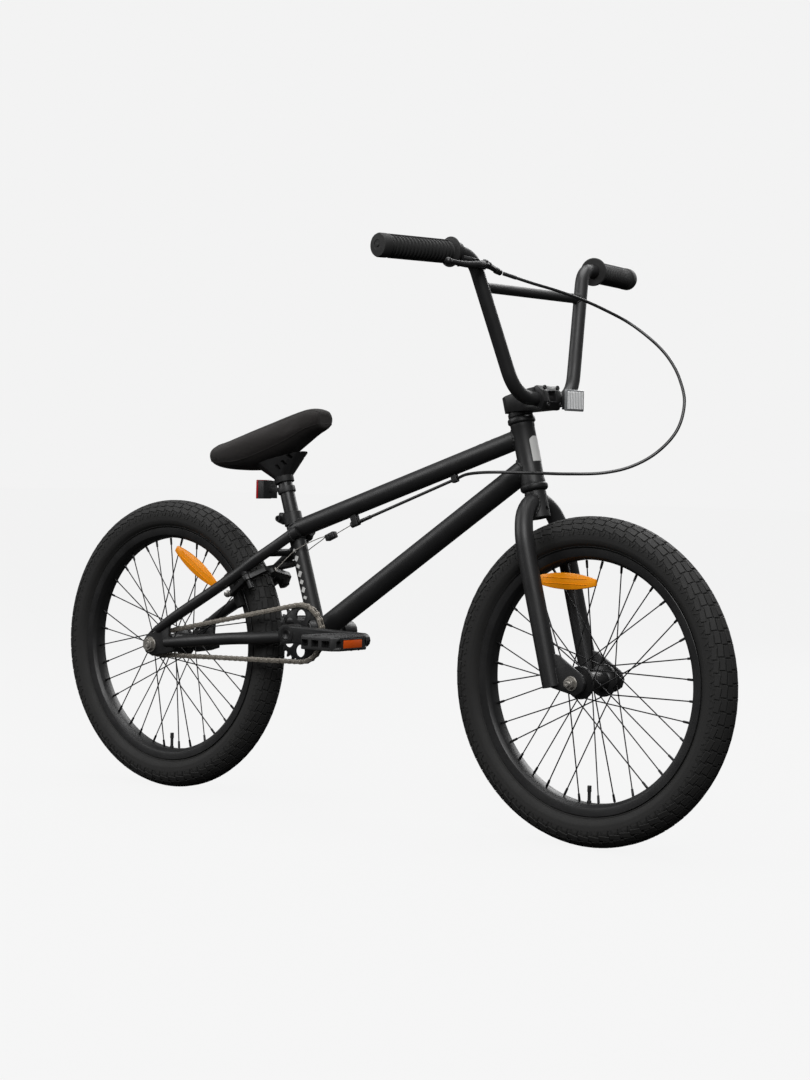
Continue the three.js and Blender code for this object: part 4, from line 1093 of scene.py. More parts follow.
@dataclass
class Fork:
    """Crown, steerer, two straight legs and two welded end plates."""

    body: str = "steering"
    leg_radius: float = 15.0
    spacing: float = 54.0
    plate: tuple[tuple[float, float], ...] = ((-46, -8), (8, -19), (20, -11), (24, 2), (17, 15), (-27, 42),
                                              (-38, 44))

    def build(self) -> None:
        """Makes the fork in one piece and the headset's top cover."""
        route = [(300, 8), (294, 22), (277, 40), (247, 51), (205, 54), (110, 54), (2, 54)]
        parts = []
        for side in (-1, 1):
            leg = smooth_path([on_head(up, 0, side * left) for up, left in route], 34)
            parts.append(tube("leg", leg, self.leg_radius, 40, swell=lambda i: 0.9 + 0.1 * min(1, i / 9)))
            low = side * self.spacing - 3
            outline = [(FRONT_AXLE.x + x, FRONT_AXLE.z + z) for x, z in self.plate]
            plate = prism("plate", outline, low, low + 6, 0.9)
            hole = rod("hole", FRONT_AXLE - ACROSS * 90, FRONT_AXLE + ACROSS * 90, 5.6, 32)
            parts.append(carved(plate, hole))
            for edge in (-3, 3):
                seam = [on_head(up, 14.6, side * self.spacing + edge) for up in range(4, 34, 2)]
                parts.append(tube("seam", seam, 1.5, 10, swell=lambda i: 1.0 + 0.2 * math.sin(i * 2.4)))
        crown = turned("crown", [(11.7, 271), (16.6, 271), (17.5, 272), (17.5, 312), (17, 314.8),
                                 (14.3, 314.8), (14.3, 470), (11.7, 470)], on_head(0), HEAD_UP, 64)
        hole = rod("hole", on_head(284, 0, 0), on_head(284, 40, 0), 3.6, 24)
        parts.append(carved(crown, hole))
        for side in (-1, 1):
            line = saddle(on_head(272, 0, side * 44), on_head(298, 0, side * 10), 13.6, on_head(0), HEAD_UP,
                          17.5)
            parts.append(weld("bead", line, 1.8))
        dressed(joined("fork_weldment", *parts), PAINT, self.body, "fork", smooth=40)
        cover = turned("headset_cap", [(14.9, 0), (19.2, 0), (20, 0.8), (20, 5.6), (19.2, 6.2), (18.6, 8.8),
                                       (17.8, 9.5), (14.9, 9.5)], on_head(437.7), HEAD_UP, 64)
        dressed(cover, ALLOY, self.body, "headset_cover")


@dataclass
class Cockpit:
    """Stem, handlebar, grips, brake lever and front reflector."""

    body: str = "steering"
    clamp_up: float = 454.0
    clamp_forward: float = 51.0
    bar_radius: float = 11.1
    upper_corner: Vector = field(default_factory=lambda: Vector((316, -152, 921)))
    bar_end: Vector = field(default_factory=lambda: Vector((281.6, -337, 920)))
    lever_pivot: Vector = field(default_factory=lambda: Vector((340, -150, 904)))
    lever_tip: Vector = field(default_factory=lambda: Vector((339, -240, 902)))
    lever_axis: Vector = field(default_factory=lambda: Vector((-0.447, 0, -0.894)))

    @property
    def clamp(self) -> Vector:
        """The bar's centre in the stem."""
        return on_head(self.clamp_up, self.clamp_forward)

    @property
    def grip_line(self) -> Vector:
        """The right grip's direction, outward."""
        return (self.bar_end - self.upper_corner).normalized()

    def build(self) -> None:
        """Makes everything on the steering above the fork."""
        self.stem()
        self.bars()
        for word, mirror in (("right", False), ("left", True)):
            self.grip(word, mirror)
        self.lever()
        self.reflector()

    def stem(self) -> None:
        """Makes the stem's body and faceplate with their bolts and the top cap."""
        body = refined("stem_clamp", "stem_body", 1.2, 3)
        for up in (452.5, 467.5):
            bolt = socket_bolt("bolt", on_head(up, -20.1, -7), HEAD_FORWARD * -1, 3.9, 1.2)
            body = joined("stem_clamp", body, bolt)
        rim = turned("cap", [(0, 0), (13.6, 0), (13.6, 1.6), (11.6, 2.6), (4.8, 2.6), (4.4, 1.4), (0, 1.4)],
                     on_head(470.2), HEAD_UP, 48)
        dressed(joined("stem_clamp", body, rim), ALLOY, self.body, "stem_body")
        plate = refined("stem_front_plate", "stem_faceplate", 1.1, 3)
        bolts = []
        for up in (-13.5, 14.5):
            for left in (-17.5, 17.5):
                place = on_head(self.clamp_up + up, self.clamp_forward + 15.8, left)
                bolts.append(socket_bolt("bolt", place, HEAD_FORWARD, 3.7, 3.2))
        dressed(joined("stem_front_plate", plate, *bolts), ALLOY, self.body, "stem_faceplate")

    def bars(self) -> None:
        """Makes the bent handlebar and its welded crossbar."""
        lower = Vector((self.clamp.x, -76, self.clamp.z))
        corners = [self.bar_end, self.upper_corner, lower]
        corners += [flipped(p) for p in reversed(corners)]
        bar = tube("bar", rounded_path(corners, [30, 44, 44, 30], 14), self.bar_radius, 40)
        end = Vector((324, -134, 870.5))
        cross = rod("cross", end, flipped(end), 8, 40)
        rise = (self.upper_corner - lower).normalized()
        beads = []
        for flip in (lambda p: p, flipped):
            line = saddle(Vector((324, 0, 870.5)), flip(end), 8, flip(lower), flip(rise), self.bar_radius)
            beads.append(weld("bead", line, 1.7))
        knurl = turned("knurl", [(11.0, -25), (11.35, -24.8), (11.35, 24.8), (11.0, 25)],
                       self.clamp, ACROSS, 48)
        dressed(joined("bent_bar", bar, cross, knurl, *beads), PAINT, self.body, "handlebar", smooth=45)

    def grip(self, word: str, mirror: bool) -> None:
        """Makes one grip: flange, a row of crescent fins, end collar and plug.

        Args:
            word: Which side it is on.
            mirror: Whether to build it on the bike's left.
        """
        flip: Callable[[Vector], Vector] = flipped if mirror else (lambda p: p)
        line = flip(self.grip_line)
        start = flip(self.bar_end - self.grip_line * 146)
        outline = [(11.4, 0), (22.2, 0), (23.6, 1.2), (23.6, 3), (22.2, 4.2), (15.4, 6.5)]
        pitch, y = 7.2, 9.0
        while y < 126:
            outline += [(13.9, y), (16.2, y + 0.9), (16.35, y + 2.9), (16.2, y + 3.6), (14.1, y + 4.6)]
            y += pitch
        outline += [(14.4, 128.5), (16.4, 130), (18.4, 132), (18.6, 134), (18.6, 145.6), (17.4, 148),
                    (8.2, 149), (7.6, 148.2), (3.2, 148.2), (2.6, 149.6), (0, 150.1), (0, 146.5),
                    (11.4, 146.5)]
        sleeve = turned("sleeve", outline, start, line, 48)
        ridges = []
        for side in (-1, 1):
            across = Vector((0, 0, 1))
            strip = rod("strip", start + line * 8.2 + across * (16.9 * side),
                        start + line * 128 + across * (16.9 * side), 1.7, 16)
            ridges.append(strip)
        grip = joined(f"{word}_grip_sleeve", sleeve, *ridges)
        dressed(grip, GRIP, self.body, f"{word}_grip", smooth=40)

    def lever(self) -> None:
        """Makes the brake lever's clamp, knuckle, barrel and blade."""
        bracket = refined("lever_clamp", "brake_lever_bracket", 0.8, 2)
        line = self.grip_line
        clamp = self.bar_end - line * 154
        bolt = socket_bolt("bolt", clamp + Vector((8, 0, -19)), Vector((0.2, 0, -1)), 3.6, 2.6)
        pivot = self.lever_pivot
        caps = [socket_bolt("cap", pivot + self.lever_axis * (way * 5.2), self.lever_axis * way, 4.6, 2.0)
                for way in (-1, 1)]
        run = (Vector((343, -113, 894)) - pivot).normalized()
        barrel = turned("barrel", [(2.9, 26), (4.6, 26), (5.2, 27), (5.2, 29), (4.7, 29.6), (5.2, 30.2),
                                   (5.2, 32.2), (4.7, 32.8), (4.7, 38.6), (2.9, 38.6)], pivot, run, 32)
        dressed(joined("lever_clamp", bracket, bolt, *caps, barrel), ALLOY, self.body, "brake_lever_bracket")
        path = smooth_path([pivot, Vector((344, -170, 902)), Vector((342, -200, 900)), self.lever_tip], 26)
        blade = tube("blade", path, 4.6, 20, swell=lambda i: 1.45 - 0.5 * min(1.0, i / 20))
        boss = bevelled(rod("boss", pivot - self.lever_axis * 4, pivot + self.lever_axis * 4, 7.4, 36), 0.7,
                        2)
        deselect()
        bpy.ops.mesh.primitive_uv_sphere_add(segments=28, ring_count=16, radius=6.0 * MM,
                                             location=self.lever_tip * MM)
        ball = settle(bpy.context.object, "ball")
        dressed(joined("lever_blade", blade, boss, ball), ALLOY, "brake_lever", "brake_lever_blade")

    def reflector(self) -> None:
        """Makes the clear reflector with its upright ribs and its bracket."""
        bracket = refined("front_reflector_mount", "front_reflector_bracket", 0.9, 2)
        dressed(bracket, MOULDED, self.body, "front_reflector_bracket")
        lens = refined("front_reflector_face", "front_reflector_lens", 1.6, 3)
        low, high = (Vector(corner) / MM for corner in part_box("front_reflector_lens"))
        ribs = []
        for k in range(10):
            y = low.y + 5 + (high.y - low.y - 10) * k / 9
            rib = block("rib", Vector((high.x, y, (low.z + high.z) / 2)), (1.2, 2.7, high.z - low.z - 6))
            ribs.append(bevelled(rib, 0.5, 1))
        dressed(lens, SMOKED, self.body, "front_reflector_lens")
        dressed(joined("front_reflector_ribs", *ribs), CLEAR, self.body)


# ------------------------------------------------------------------ drivetrain


@dataclass
class Drivetrain:
    """Toothed sprocket, nine-tooth driver, chain of single links, cranks and spindle."""

    left: float = -45.0
    front_teeth: int = 24
    rear_teeth: int = 9
    pitch: float = 12.7
    windows: int = 6

    @property
    def front_radius(self) -> float:
        """The sprocket's pitch radius."""
        return self.pitch / (2 * math.sin(math.pi / self.front_teeth))

    @property
    def rear_radius(self) -> float:
        """The driver's pitch radius."""
        return self.pitch / (2 * math.sin(math.pi / self.rear_teeth))

    def build(self) -> None:
        """Makes every piece."""
        rollers = self.rollers()
        self.chain(rollers)
        self.sprocket(rollers)
        self.driver(rollers)
        self.cranks()

    def rollers(self) -> list[Vector]:
        """Returns where the chain's rollers sit, an even number of them, all round."""
        span = REAR_AXLE - BRACKET
        slope = math.atan2(span.z, span.x)
        spread = math.acos((self.front_radius - self.rear_radius) / span.length)
        path = []
        for centre, radius, start, stop in (
                (BRACKET, self.front_radius, slope + spread, slope + TURN - spread),
                (REAR_AXLE, self.rear_radius, slope - spread, slope + spread)):
            for k in range(61):
                a = start + (stop - start) * k / 60
                path.append(centre + Vector((radius * math.cos(a), self.left, radius * math.sin(a))))
        path.append(path[0])
        length = sum((b - a).length for a, b in zip(path, path[1:]))
        count = 2 * round(length / self.pitch / 2)
        return evenly(path, count)

    def chain(self, rollers: Points) -> None:
        """Makes inner and outer links by turns, with rollers and riveted pins."""
        places: list[Matrix] = []
        for a, b in zip(rollers, rollers[1:]):
            run = b - a
            places.append(moved((a + b) / 2) @ spun(-math.atan2(run.z, run.x), "Y"))
        half = self.pitch / 2
        inner, outer = [], []
        for side in (-1, 1):
            inner.append(self.plate(min(side * 1.65, side * 2.65), 4.5))
            outer.append(self.plate(min(side * 2.8, side * 3.8), 4.3))
        for x in (-half, half):
            at = Vector((x, 0, 0))
            inner.append(rod("roller", at - ACROSS * 1.6, at + ACROSS * 1.6, 3.8, 16))
            outer.append(bevelled(rod("pin", at - ACROSS * 4.35, at + ACROSS * 4.35, 1.9, 12), 0.3, 1))
        chain = joined("roller_chain", copies("inner_links", joined("inner", *inner), places[0::2]),
                       copies("outer_links", joined("outer", *outer), places[1::2]))
        dressed(chain, LINKS, "frame", "drive_chain", smooth=50)

    def plate(self, low: float, radius: float) -> bpy.types.Object:
        """Makes one waisted side plate, one millimetre thick."""
        half = self.pitch / 2
        outline = []
        for middle, start in ((half, -115), (-half, 65)):
            outline += [(middle + radius * math.cos(math.radians(start + 230 * k / 8)),
                         radius * math.sin(math.radians(start + 230 * k / 8))) for k in range(9)]
            outline.append((0, math.copysign(radius * 0.8, middle)))
        return prism("plate", outline, low, low + 1.0, 0.18)

    def toothed(self, centre: Vector, teeth: int, radius: float, first: float, low: float,
                high: float) -> bpy.types.Object:
        """Makes a toothed plate that fits the rollers.

        Args:
            centre: Its axle.
            teeth: How many teeth.
            radius: The pitch radius.
            first: The angle of one roller.
            low: The right-hand face's Y.
            high: The left-hand face's Y.
        """
        step = TURN / teeth
        tooth = ((-3.95, 0.0), (-3.8, 0.12), (-2.7, 0.24), (0.3, 0.33), (2.6, 0.45), (2.6, 0.55),
                 (0.3, 0.67), (-2.7, 0.76), (-3.8, 0.88))
        outline = []
        for k in range(teeth):
            for rise, part in tooth:
                a = first + (k + part) * step
                outline.append((centre.x + (radius + rise) * math.cos(a),
                                centre.z + (radius + rise) * math.sin(a)))
        return prism("toothed", outline, low, high, 0.35)

    def sprocket(self, rollers: Points) -> None:
        """Makes the sprocket with its rounded windows and stepped middle."""
        spoke = rollers[0] - BRACKET
        plate = self.toothed(BRACKET, self.front_teeth, self.front_radius, math.atan2(spoke.z, spoke.x),
                             self.left - 1.6, self.left + 1.6)
        cutters = []
        for k in range(self.windows):
            a = math.pi / 2 + TURN * k / self.windows
            at = BRACKET + Vector((30 * math.cos(a), 0, 30 * math.sin(a)))
            cutters.append(rod("window", at - ACROSS * 60, at - ACROSS * 30, 10.5, 40))
        cutters.append(rod("bore", BRACKET - ACROSS * 60, BRACKET - ACROSS * 30, 9.6, 40))
        plate = carved(plate, *cutters)
        deselect()
        rim = turned("step", [(9.6, -1.58), (17.4, -1.58), (16.8, -1.0), (16.8, 1.0), (17.4, 1.58),
                              (9.6, 1.58)], BRACKET + ACROSS * self.left, ACROSS, 64)
        ring = turned("ring", [(42, -1.58), (42.6, -1.6), (43.6, -1.6), (44, -1.3), (44, 1.3), (43.6, 1.6),
                               (42.6, 1.6), (42, 1.58)], BRACKET + ACROSS * self.left, ACROSS, 96)
        dressed(joined("chainwheel", plate, rim, ring), ALLOY, "crank", "sprocket")

    def driver(self, rollers: Points) -> None:
        """Makes the driver's teeth and boss."""
        far = max(rollers, key=lambda p: (p - BRACKET).length)
        spoke = far - REAR_AXLE
        teeth = self.toothed(REAR_AXLE, self.rear_teeth, self.rear_radius, math.atan2(spoke.z, spoke.x),
                             self.left - 1.6, self.left + 1.6)
        teeth = carved(teeth, rod("bore", REAR_AXLE - ACROSS * 60, REAR_AXLE - ACROSS * 30, 9, 40))
        boss = turned("boss", [(7.6, -52.4), (11.8, -52.4), (12.6, -51.6), (12.6, -40), (7.6, -40)],
                      REAR_AXLE, ACROSS, 48)
        dressed(joined("driver_cog", teeth, boss), STEEL, "driver", "rear_driver")

    def cranks(self) -> None:
        """Makes both crank arms with pinch bolt and cap, and the spindle."""
        for word, side, heading in (("right", -1, 1), ("left", 1, -1)):
            node = f"{word}_crank_arm"
            arm = refined(f"{word}_crank", node, 2.2, 4)
            out = ACROSS * side
            centre = BRACKET + out * 84.6
            cap = turned("cap", [(0, 0), (9.6, 0), (9.6, 0.9), (8.9, 1.6), (4.4, 1.6), (4.0, 0.6), (0, 0.6)],
                         centre, out, 48)
            cap.data.transform(moved(out * -1.3))
            pinch = socket_bolt("pinch", BRACKET + Vector((heading * 20, side * 69, 12.4)),
                                Vector((0, 0, 1)), 4.2, 2.4)
            dressed(joined(f"{word}_crank", arm, cap, pinch), ALLOY, "crank", node)
        ring = turned("spindle", [(0, -83), (9, -83), (9.5, -82.4), (9.5, 82.4), (9, 83), (0, 83)], BRACKET,
                      ACROSS, 48)
        dressed(ring, FORGED, "crank", "crank_spindle")
        ring.name = "spindle_bar"


@dataclass
class Pedal:
    """A flat plastic pedal: rounded cage, moulded pins, axle sleeve and two amber reflectors."""

    word: str
    side: int
    centre_x: float
    inner: float = 93.0
    outer: float = 193.0
    half_height: float = 11.0
    half_length: float = 41.0

    @property
    def body(self) -> str:
        """The CAD body that turns on the axle."""
        return f"{self.word}_pedal"

    def build(self) -> None:
        """Makes the pedal's pieces."""
        cage = refined(f"{self.word}_pedal_cage", f"{self.word}_pedal_body", 1.5, 3)
        middle = self.side * (self.inner + self.outer) / 2
        cage = carved(cage, self.pockets(middle))
        pins = []
        for x in (-36, -25, -14, 14, 25, 36):
            for y in (-41, -17, 1, 37):
                if abs(x) == 36 and abs(y) > 36:
                    continue
                for way in (-1, 1):
                    foot = Vector((self.centre_x + x, middle + self.side * y,
                                   BRACKET.z + way * (self.half_height - 0.9)))
                    pins.append(rod("pin", foot, foot + Vector((0, 0, way * 1.8)), 1.9, 12, 1.2))
        dressed(joined(f"{self.word}_pedal_cage", cage, *pins), MOULDED, self.body, f"{self.word}_pedal_body")
        self.reflectors(middle)
        axle = refined(f"{self.word}_pedal_spindle", f"{self.word}_pedal_axle", 0.4, 2)
        dressed(axle, STEEL, "crank", f"{self.word}_pedal_axle")

    def pockets(self, middle: float) -> bpy.types.Object:
        """Makes the cutters for the side pockets and the row of grip notches."""
        cutters = []
        for x in (-22, 0, 22):
            cutters.append(block("pocket", Vector((self.centre_x + x, self.side * self.outer, BRACKET.z)),
                                 (15, 20, 11)))
        for way in (-1, 1):
            end_x = self.centre_x + way * self.half_length
            for height in (-1, 1):
                for k in range(8):
                    y = middle + self.side * (-26 + 8 * k)
                    place = Vector((end_x, y, BRACKET.z + height * self.half_height))
                    cutters.append(block("notch", place, (7, 3.4, 3.4)))
            for y in (-31, 36):
                place = Vector((end_x, middle + self.side * y, BRACKET.z))
                cutters.append(block("pocket", place, (14, 8.5, 10)))
        return joined("cutters", *cutters)

    def reflectors(self, middle: float) -> None:
        """Makes the amber lens and its frame on the front and rear faces."""
        for way, word in ((1, "front"), (-1, "rear")):
            lens = block("lens", Vector((self.centre_x + way * (self.half_length - 0.1),
                                         middle + self.side * 4, BRACKET.z)), (1.8, 46, 13))
            bevelled(lens, 0.6, 2)
            frame_ring = [
                block("edge", Vector((self.centre_x + way * (self.half_length - 0.2), middle + self.side * 4,
                                      BRACKET.z + z)), (1.9, 50, 1.6)) for z in (-7.6, 7.6)]
            dressed(joined(f"{self.word}_pedal_{word}_frame", *[bevelled(e, 0.4, 1) for e in frame_ring]),
                    MOULDED, self.body)
            lens.name = f"{self.word}_pedal_{word}_lens"
            dressed(lens, PEDAL_AMBER, self.body)


# ------------------------------------------------------------------ seat


@dataclass
class Saddle:
    """A narrow padded seat with its seams, its moulded base, the post and the rear reflector."""

    body: str = "seat"
    stations: tuple[tuple[float, float, float, float], ...] = (
        (-337, 46, 617, 584), (-325, 57, 623, 576), (-292, 66, 632, 573), (-252, 66, 646, 575),
        (-210, 52, 661, 592),
        (-170, 38, 676, 613), (-136, 32, 686, 634), (-114, 27, 685, 645), (-105, 19, 678, 652))
    ring: int = 40
    sections: int = 44
    start_inside: float = 2.6
    voxel: float = 4.2
    puff: float = 4.0
    most_movement: float = 2.4
    frames: int = 20

    def build(self) -> None:
        """Makes the seat's pieces."""
        cushion = self.cushion()
        self.seams(cushion)
        self.base()
        self.post()
        self.reflector()

    def section(self, at: float, shrink: float = 0) -> list[Vector]:
        """Returns the outline at a place along the seat, 0 at the rear and 1 at the nose.

        Args:
            at: How far along.
            shrink: How far inside the finished surface.
        """
        last = len(self.stations) - 1
        k = min(int(at * last), last - 1)
        t = at * last - k
        around = [self.stations[min(max(k + d, 0), last)] for d in (-1, 0, 1, 2)]
        x, half, top, low = (
            0.5 * (2 * b + (c - a) * t + (2 * a - 5 * b + 4 * c - d) * t * t + (3 * b - a - 3 * c + d) * t**3)
            for a, b, c, d in zip(*around))
        made = []
        for i in range(self.ring):
            a = TURN * i / self.ring
            c, s = math.cos(a), math.sin(a)
            y = math.copysign(abs(c) ** 0.8, c) * (half - shrink)
            z = (top + low) / 2 + math.copysign(abs(s) ** 0.8, s) * ((top - low) / 2 - shrink * 0.8)
            made.append(Vector((x, y, z)))
        return made

    def cushion(self) -> bpy.types.Object:
        """Lofts the padding and lets cloth under pressure round it out."""
        deselect()
        bpy.ops.mesh.primitive_grid_add(x_subdivisions=self.ring, y_subdivisions=self.sections, size=2)
        pad = bpy.context.object
        for j in range(self.sections + 1):
            outline = self.section(j / self.sections, self.start_inside)
            inset = Vector((2.4 if j == 0 else -2.4 if j == self.sections else 0, 0, 0))
            for i in range(self.ring + 1):
                pad.data.vertices[j * (self.ring + 1) + i].co = (outline[i % self.ring] + inset) * MM
        bpy.ops.object.mode_set(mode="EDIT")
        bpy.ops.mesh.select_all(action="SELECT")
        bpy.ops.mesh.remove_doubles(threshold=0.00001)
        bpy.ops.mesh.fill_holes(sides=0)
        bpy.ops.object.mode_set(mode="OBJECT")
        heal(settle(pad, "padded_seat"))
        remesh = pad.modifiers.new("remesh", "REMESH")
        remesh.mode, remesh.voxel_size = "VOXEL", self.voxel * MM
        activate(pad)
        bpy.ops.object.modifier_apply(modifier=remesh.name)
        self.inflate(pad)
        subdivision = pad.modifiers.new("subdivision", "SUBSURF")
        subdivision.levels = subdivision.render_levels = 1
        activate(pad)
        bpy.ops.object.modifier_apply(modifier=subdivision.name)
        self.fit(pad)
        dressed(heal(pad), CLOTH, self.body, "seat_cushion", smooth=60)
        return pad

    def inflate(self, pad: bpy.types.Object) -> None:
        """Runs the cloth under pressure and keeps how far it moves within bounds."""
        before = [v.co.copy() for v in pad.data.vertices]
        low = min(v.co.z for v in pad.data.vertices)
        held = pad.vertex_groups.new(name="held")
        held.add([v.index for v in pad.data.vertices if v.normal.z < -0.55 or v.co.z < low + 0.004], 1.0,
                 "REPLACE")
        cloth = pad.modifiers.new("cloth", "CLOTH")
        settings = cloth.settings
        settings.quality = 6
        settings.mass = 0.3
        settings.tension_stiffness = settings.compression_stiffness = 26
        settings.shear_stiffness = 16
        settings.bending_stiffness = 1.2
        settings.use_pressure = True
        settings.uniform_pressure_force = self.puff
        settings.vertex_group_mass = held.name
        settings.effector_weights.gravity = 0
        scene = bpy.context.scene
        for number in range(1, self.frames + 1):
            scene.frame_set(number)
        shaped = pad.evaluated_get(bpy.context.evaluated_depsgraph_get()).data
        steps = [(v.co - b) for v, b in zip(shaped.vertices, before)]
        limit = self.most_movement * MM
        pad.modifiers.remove(cloth)
        furthest = 0.0
        for vertex, start, step in zip(pad.data.vertices, before, steps):
            furthest = max(furthest, step.length)
            vertex.co = start + step * min(1.0, limit / step.length if step.length else 1.0)
        LOG.info("the cushion moved %.1f mm at most", furthest / MM)
        scene.frame_set(1)

    @staticmethod
    def fit(pad: bpy.types.Object) -> None:
        """Keeps the finished cushion inside the CAD seat's box."""
        low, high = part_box("seat_cushion")
        for vertex in pad.data.vertices:
            for i in range(3):
                vertex.co[i] = min(max(vertex.co[i], low[i]), high[i])

    def seams(self, cushion: bpy.types.Object) -> None:
        """Runs the piping round the lower edge and two stitched lines over the top."""
        def onto(point: Vector) -> Vector:
            """Returns the nearest place on the cushion's skin."""
            return cushion.closest_point_on_mesh(point * MM)[1] / MM

        lower = []
        count = 72
        for way in (1, -1):
            for k in range(count + 1):
                at = 0.02 + 0.96 * (k if way > 0 else count - k) / count
                ring = self.section(at, 0.5)
                lower.append(onto(ring[self.ring - 3 if way > 0 else self.ring // 2 + 3]))
        piping = tube("piping", evenly([*lower, lower[0]], 260)[:-1], 0.75, 8, closed=True)
        lines = []
        for i in (6, 14):
            line = [onto(self.section(0.05 + 0.9 * k / 90)[i]) for k in range(91)]
            lines.append(tube("line", line, 0.55, 8))
        dressed(joined("seat_piping", piping, *lines), CLOTH, self.body)

    def base(self) -> None:
        """Makes the moulded base under the seat, with its slots and ribs."""
        base = refined("seat_moulding", "seat_base", 0.8, 2)
        slots = [block("slot", Vector((x, 0, z)), (wide, 120, tall), 0.5)
                 for x, z, wide, tall in ((-171, 601, 8, 7), (-183, 590, 7, 9), (-195, 582, 6, 9))]
        base = carved(base, *slots)
        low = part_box("seat_base")[0]
        ribs = []
        for y in (-11, 0, 11):
            rib = block("rib", Vector((-205, y, low.z / MM + 34)), (34, 2.2, 9), 0.35)
            ribs.append(bevelled(rib, 0.5, 1))
        dressed(joined("seat_moulding", base, *ribs), MOULDED, self.body, "seat_base")

    def post(self) -> None:
        """Makes the seat post with its rolled ends."""
        post = turned("seat_pillar", [(10.6, 120), (12.3, 120), (12.7, 121), (12.7, 296), (12.3, 297),
                                      (10.6, 297)], BRACKET, SEAT_UP, 64)
        dressed(post, ALLOY, self.body, "seat_post")

    def reflector(self) -> None:
        """Makes the rear reflector's block, bracket and ribbed lens."""
        mount = refined("rear_reflector_mount", "rear_reflector_bracket", 0.9, 2)
        dressed(mount, MOULDED, self.body, "rear_reflector_bracket")
        lens = refined("rear_reflector_face", "rear_reflector_lens", 1.4, 3)
        low, high = (Vector(corner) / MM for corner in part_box("rear_reflector_lens"))
        ribs = []
        for k in range(7):
            z = low.z + 4 + (high.z - low.z - 8) * k / 6
            ribs.append(bevelled(block("rib", Vector((low.x + 0.1, 0, z)), (0.9, high.y - low.y - 6, 1.8)),
                                 0.35, 1))
        dressed(joined("rear_reflector_face", lens, *ribs), RED, self.body, "rear_reflector_lens")


# ------------------------------------------------------------------ rear brake


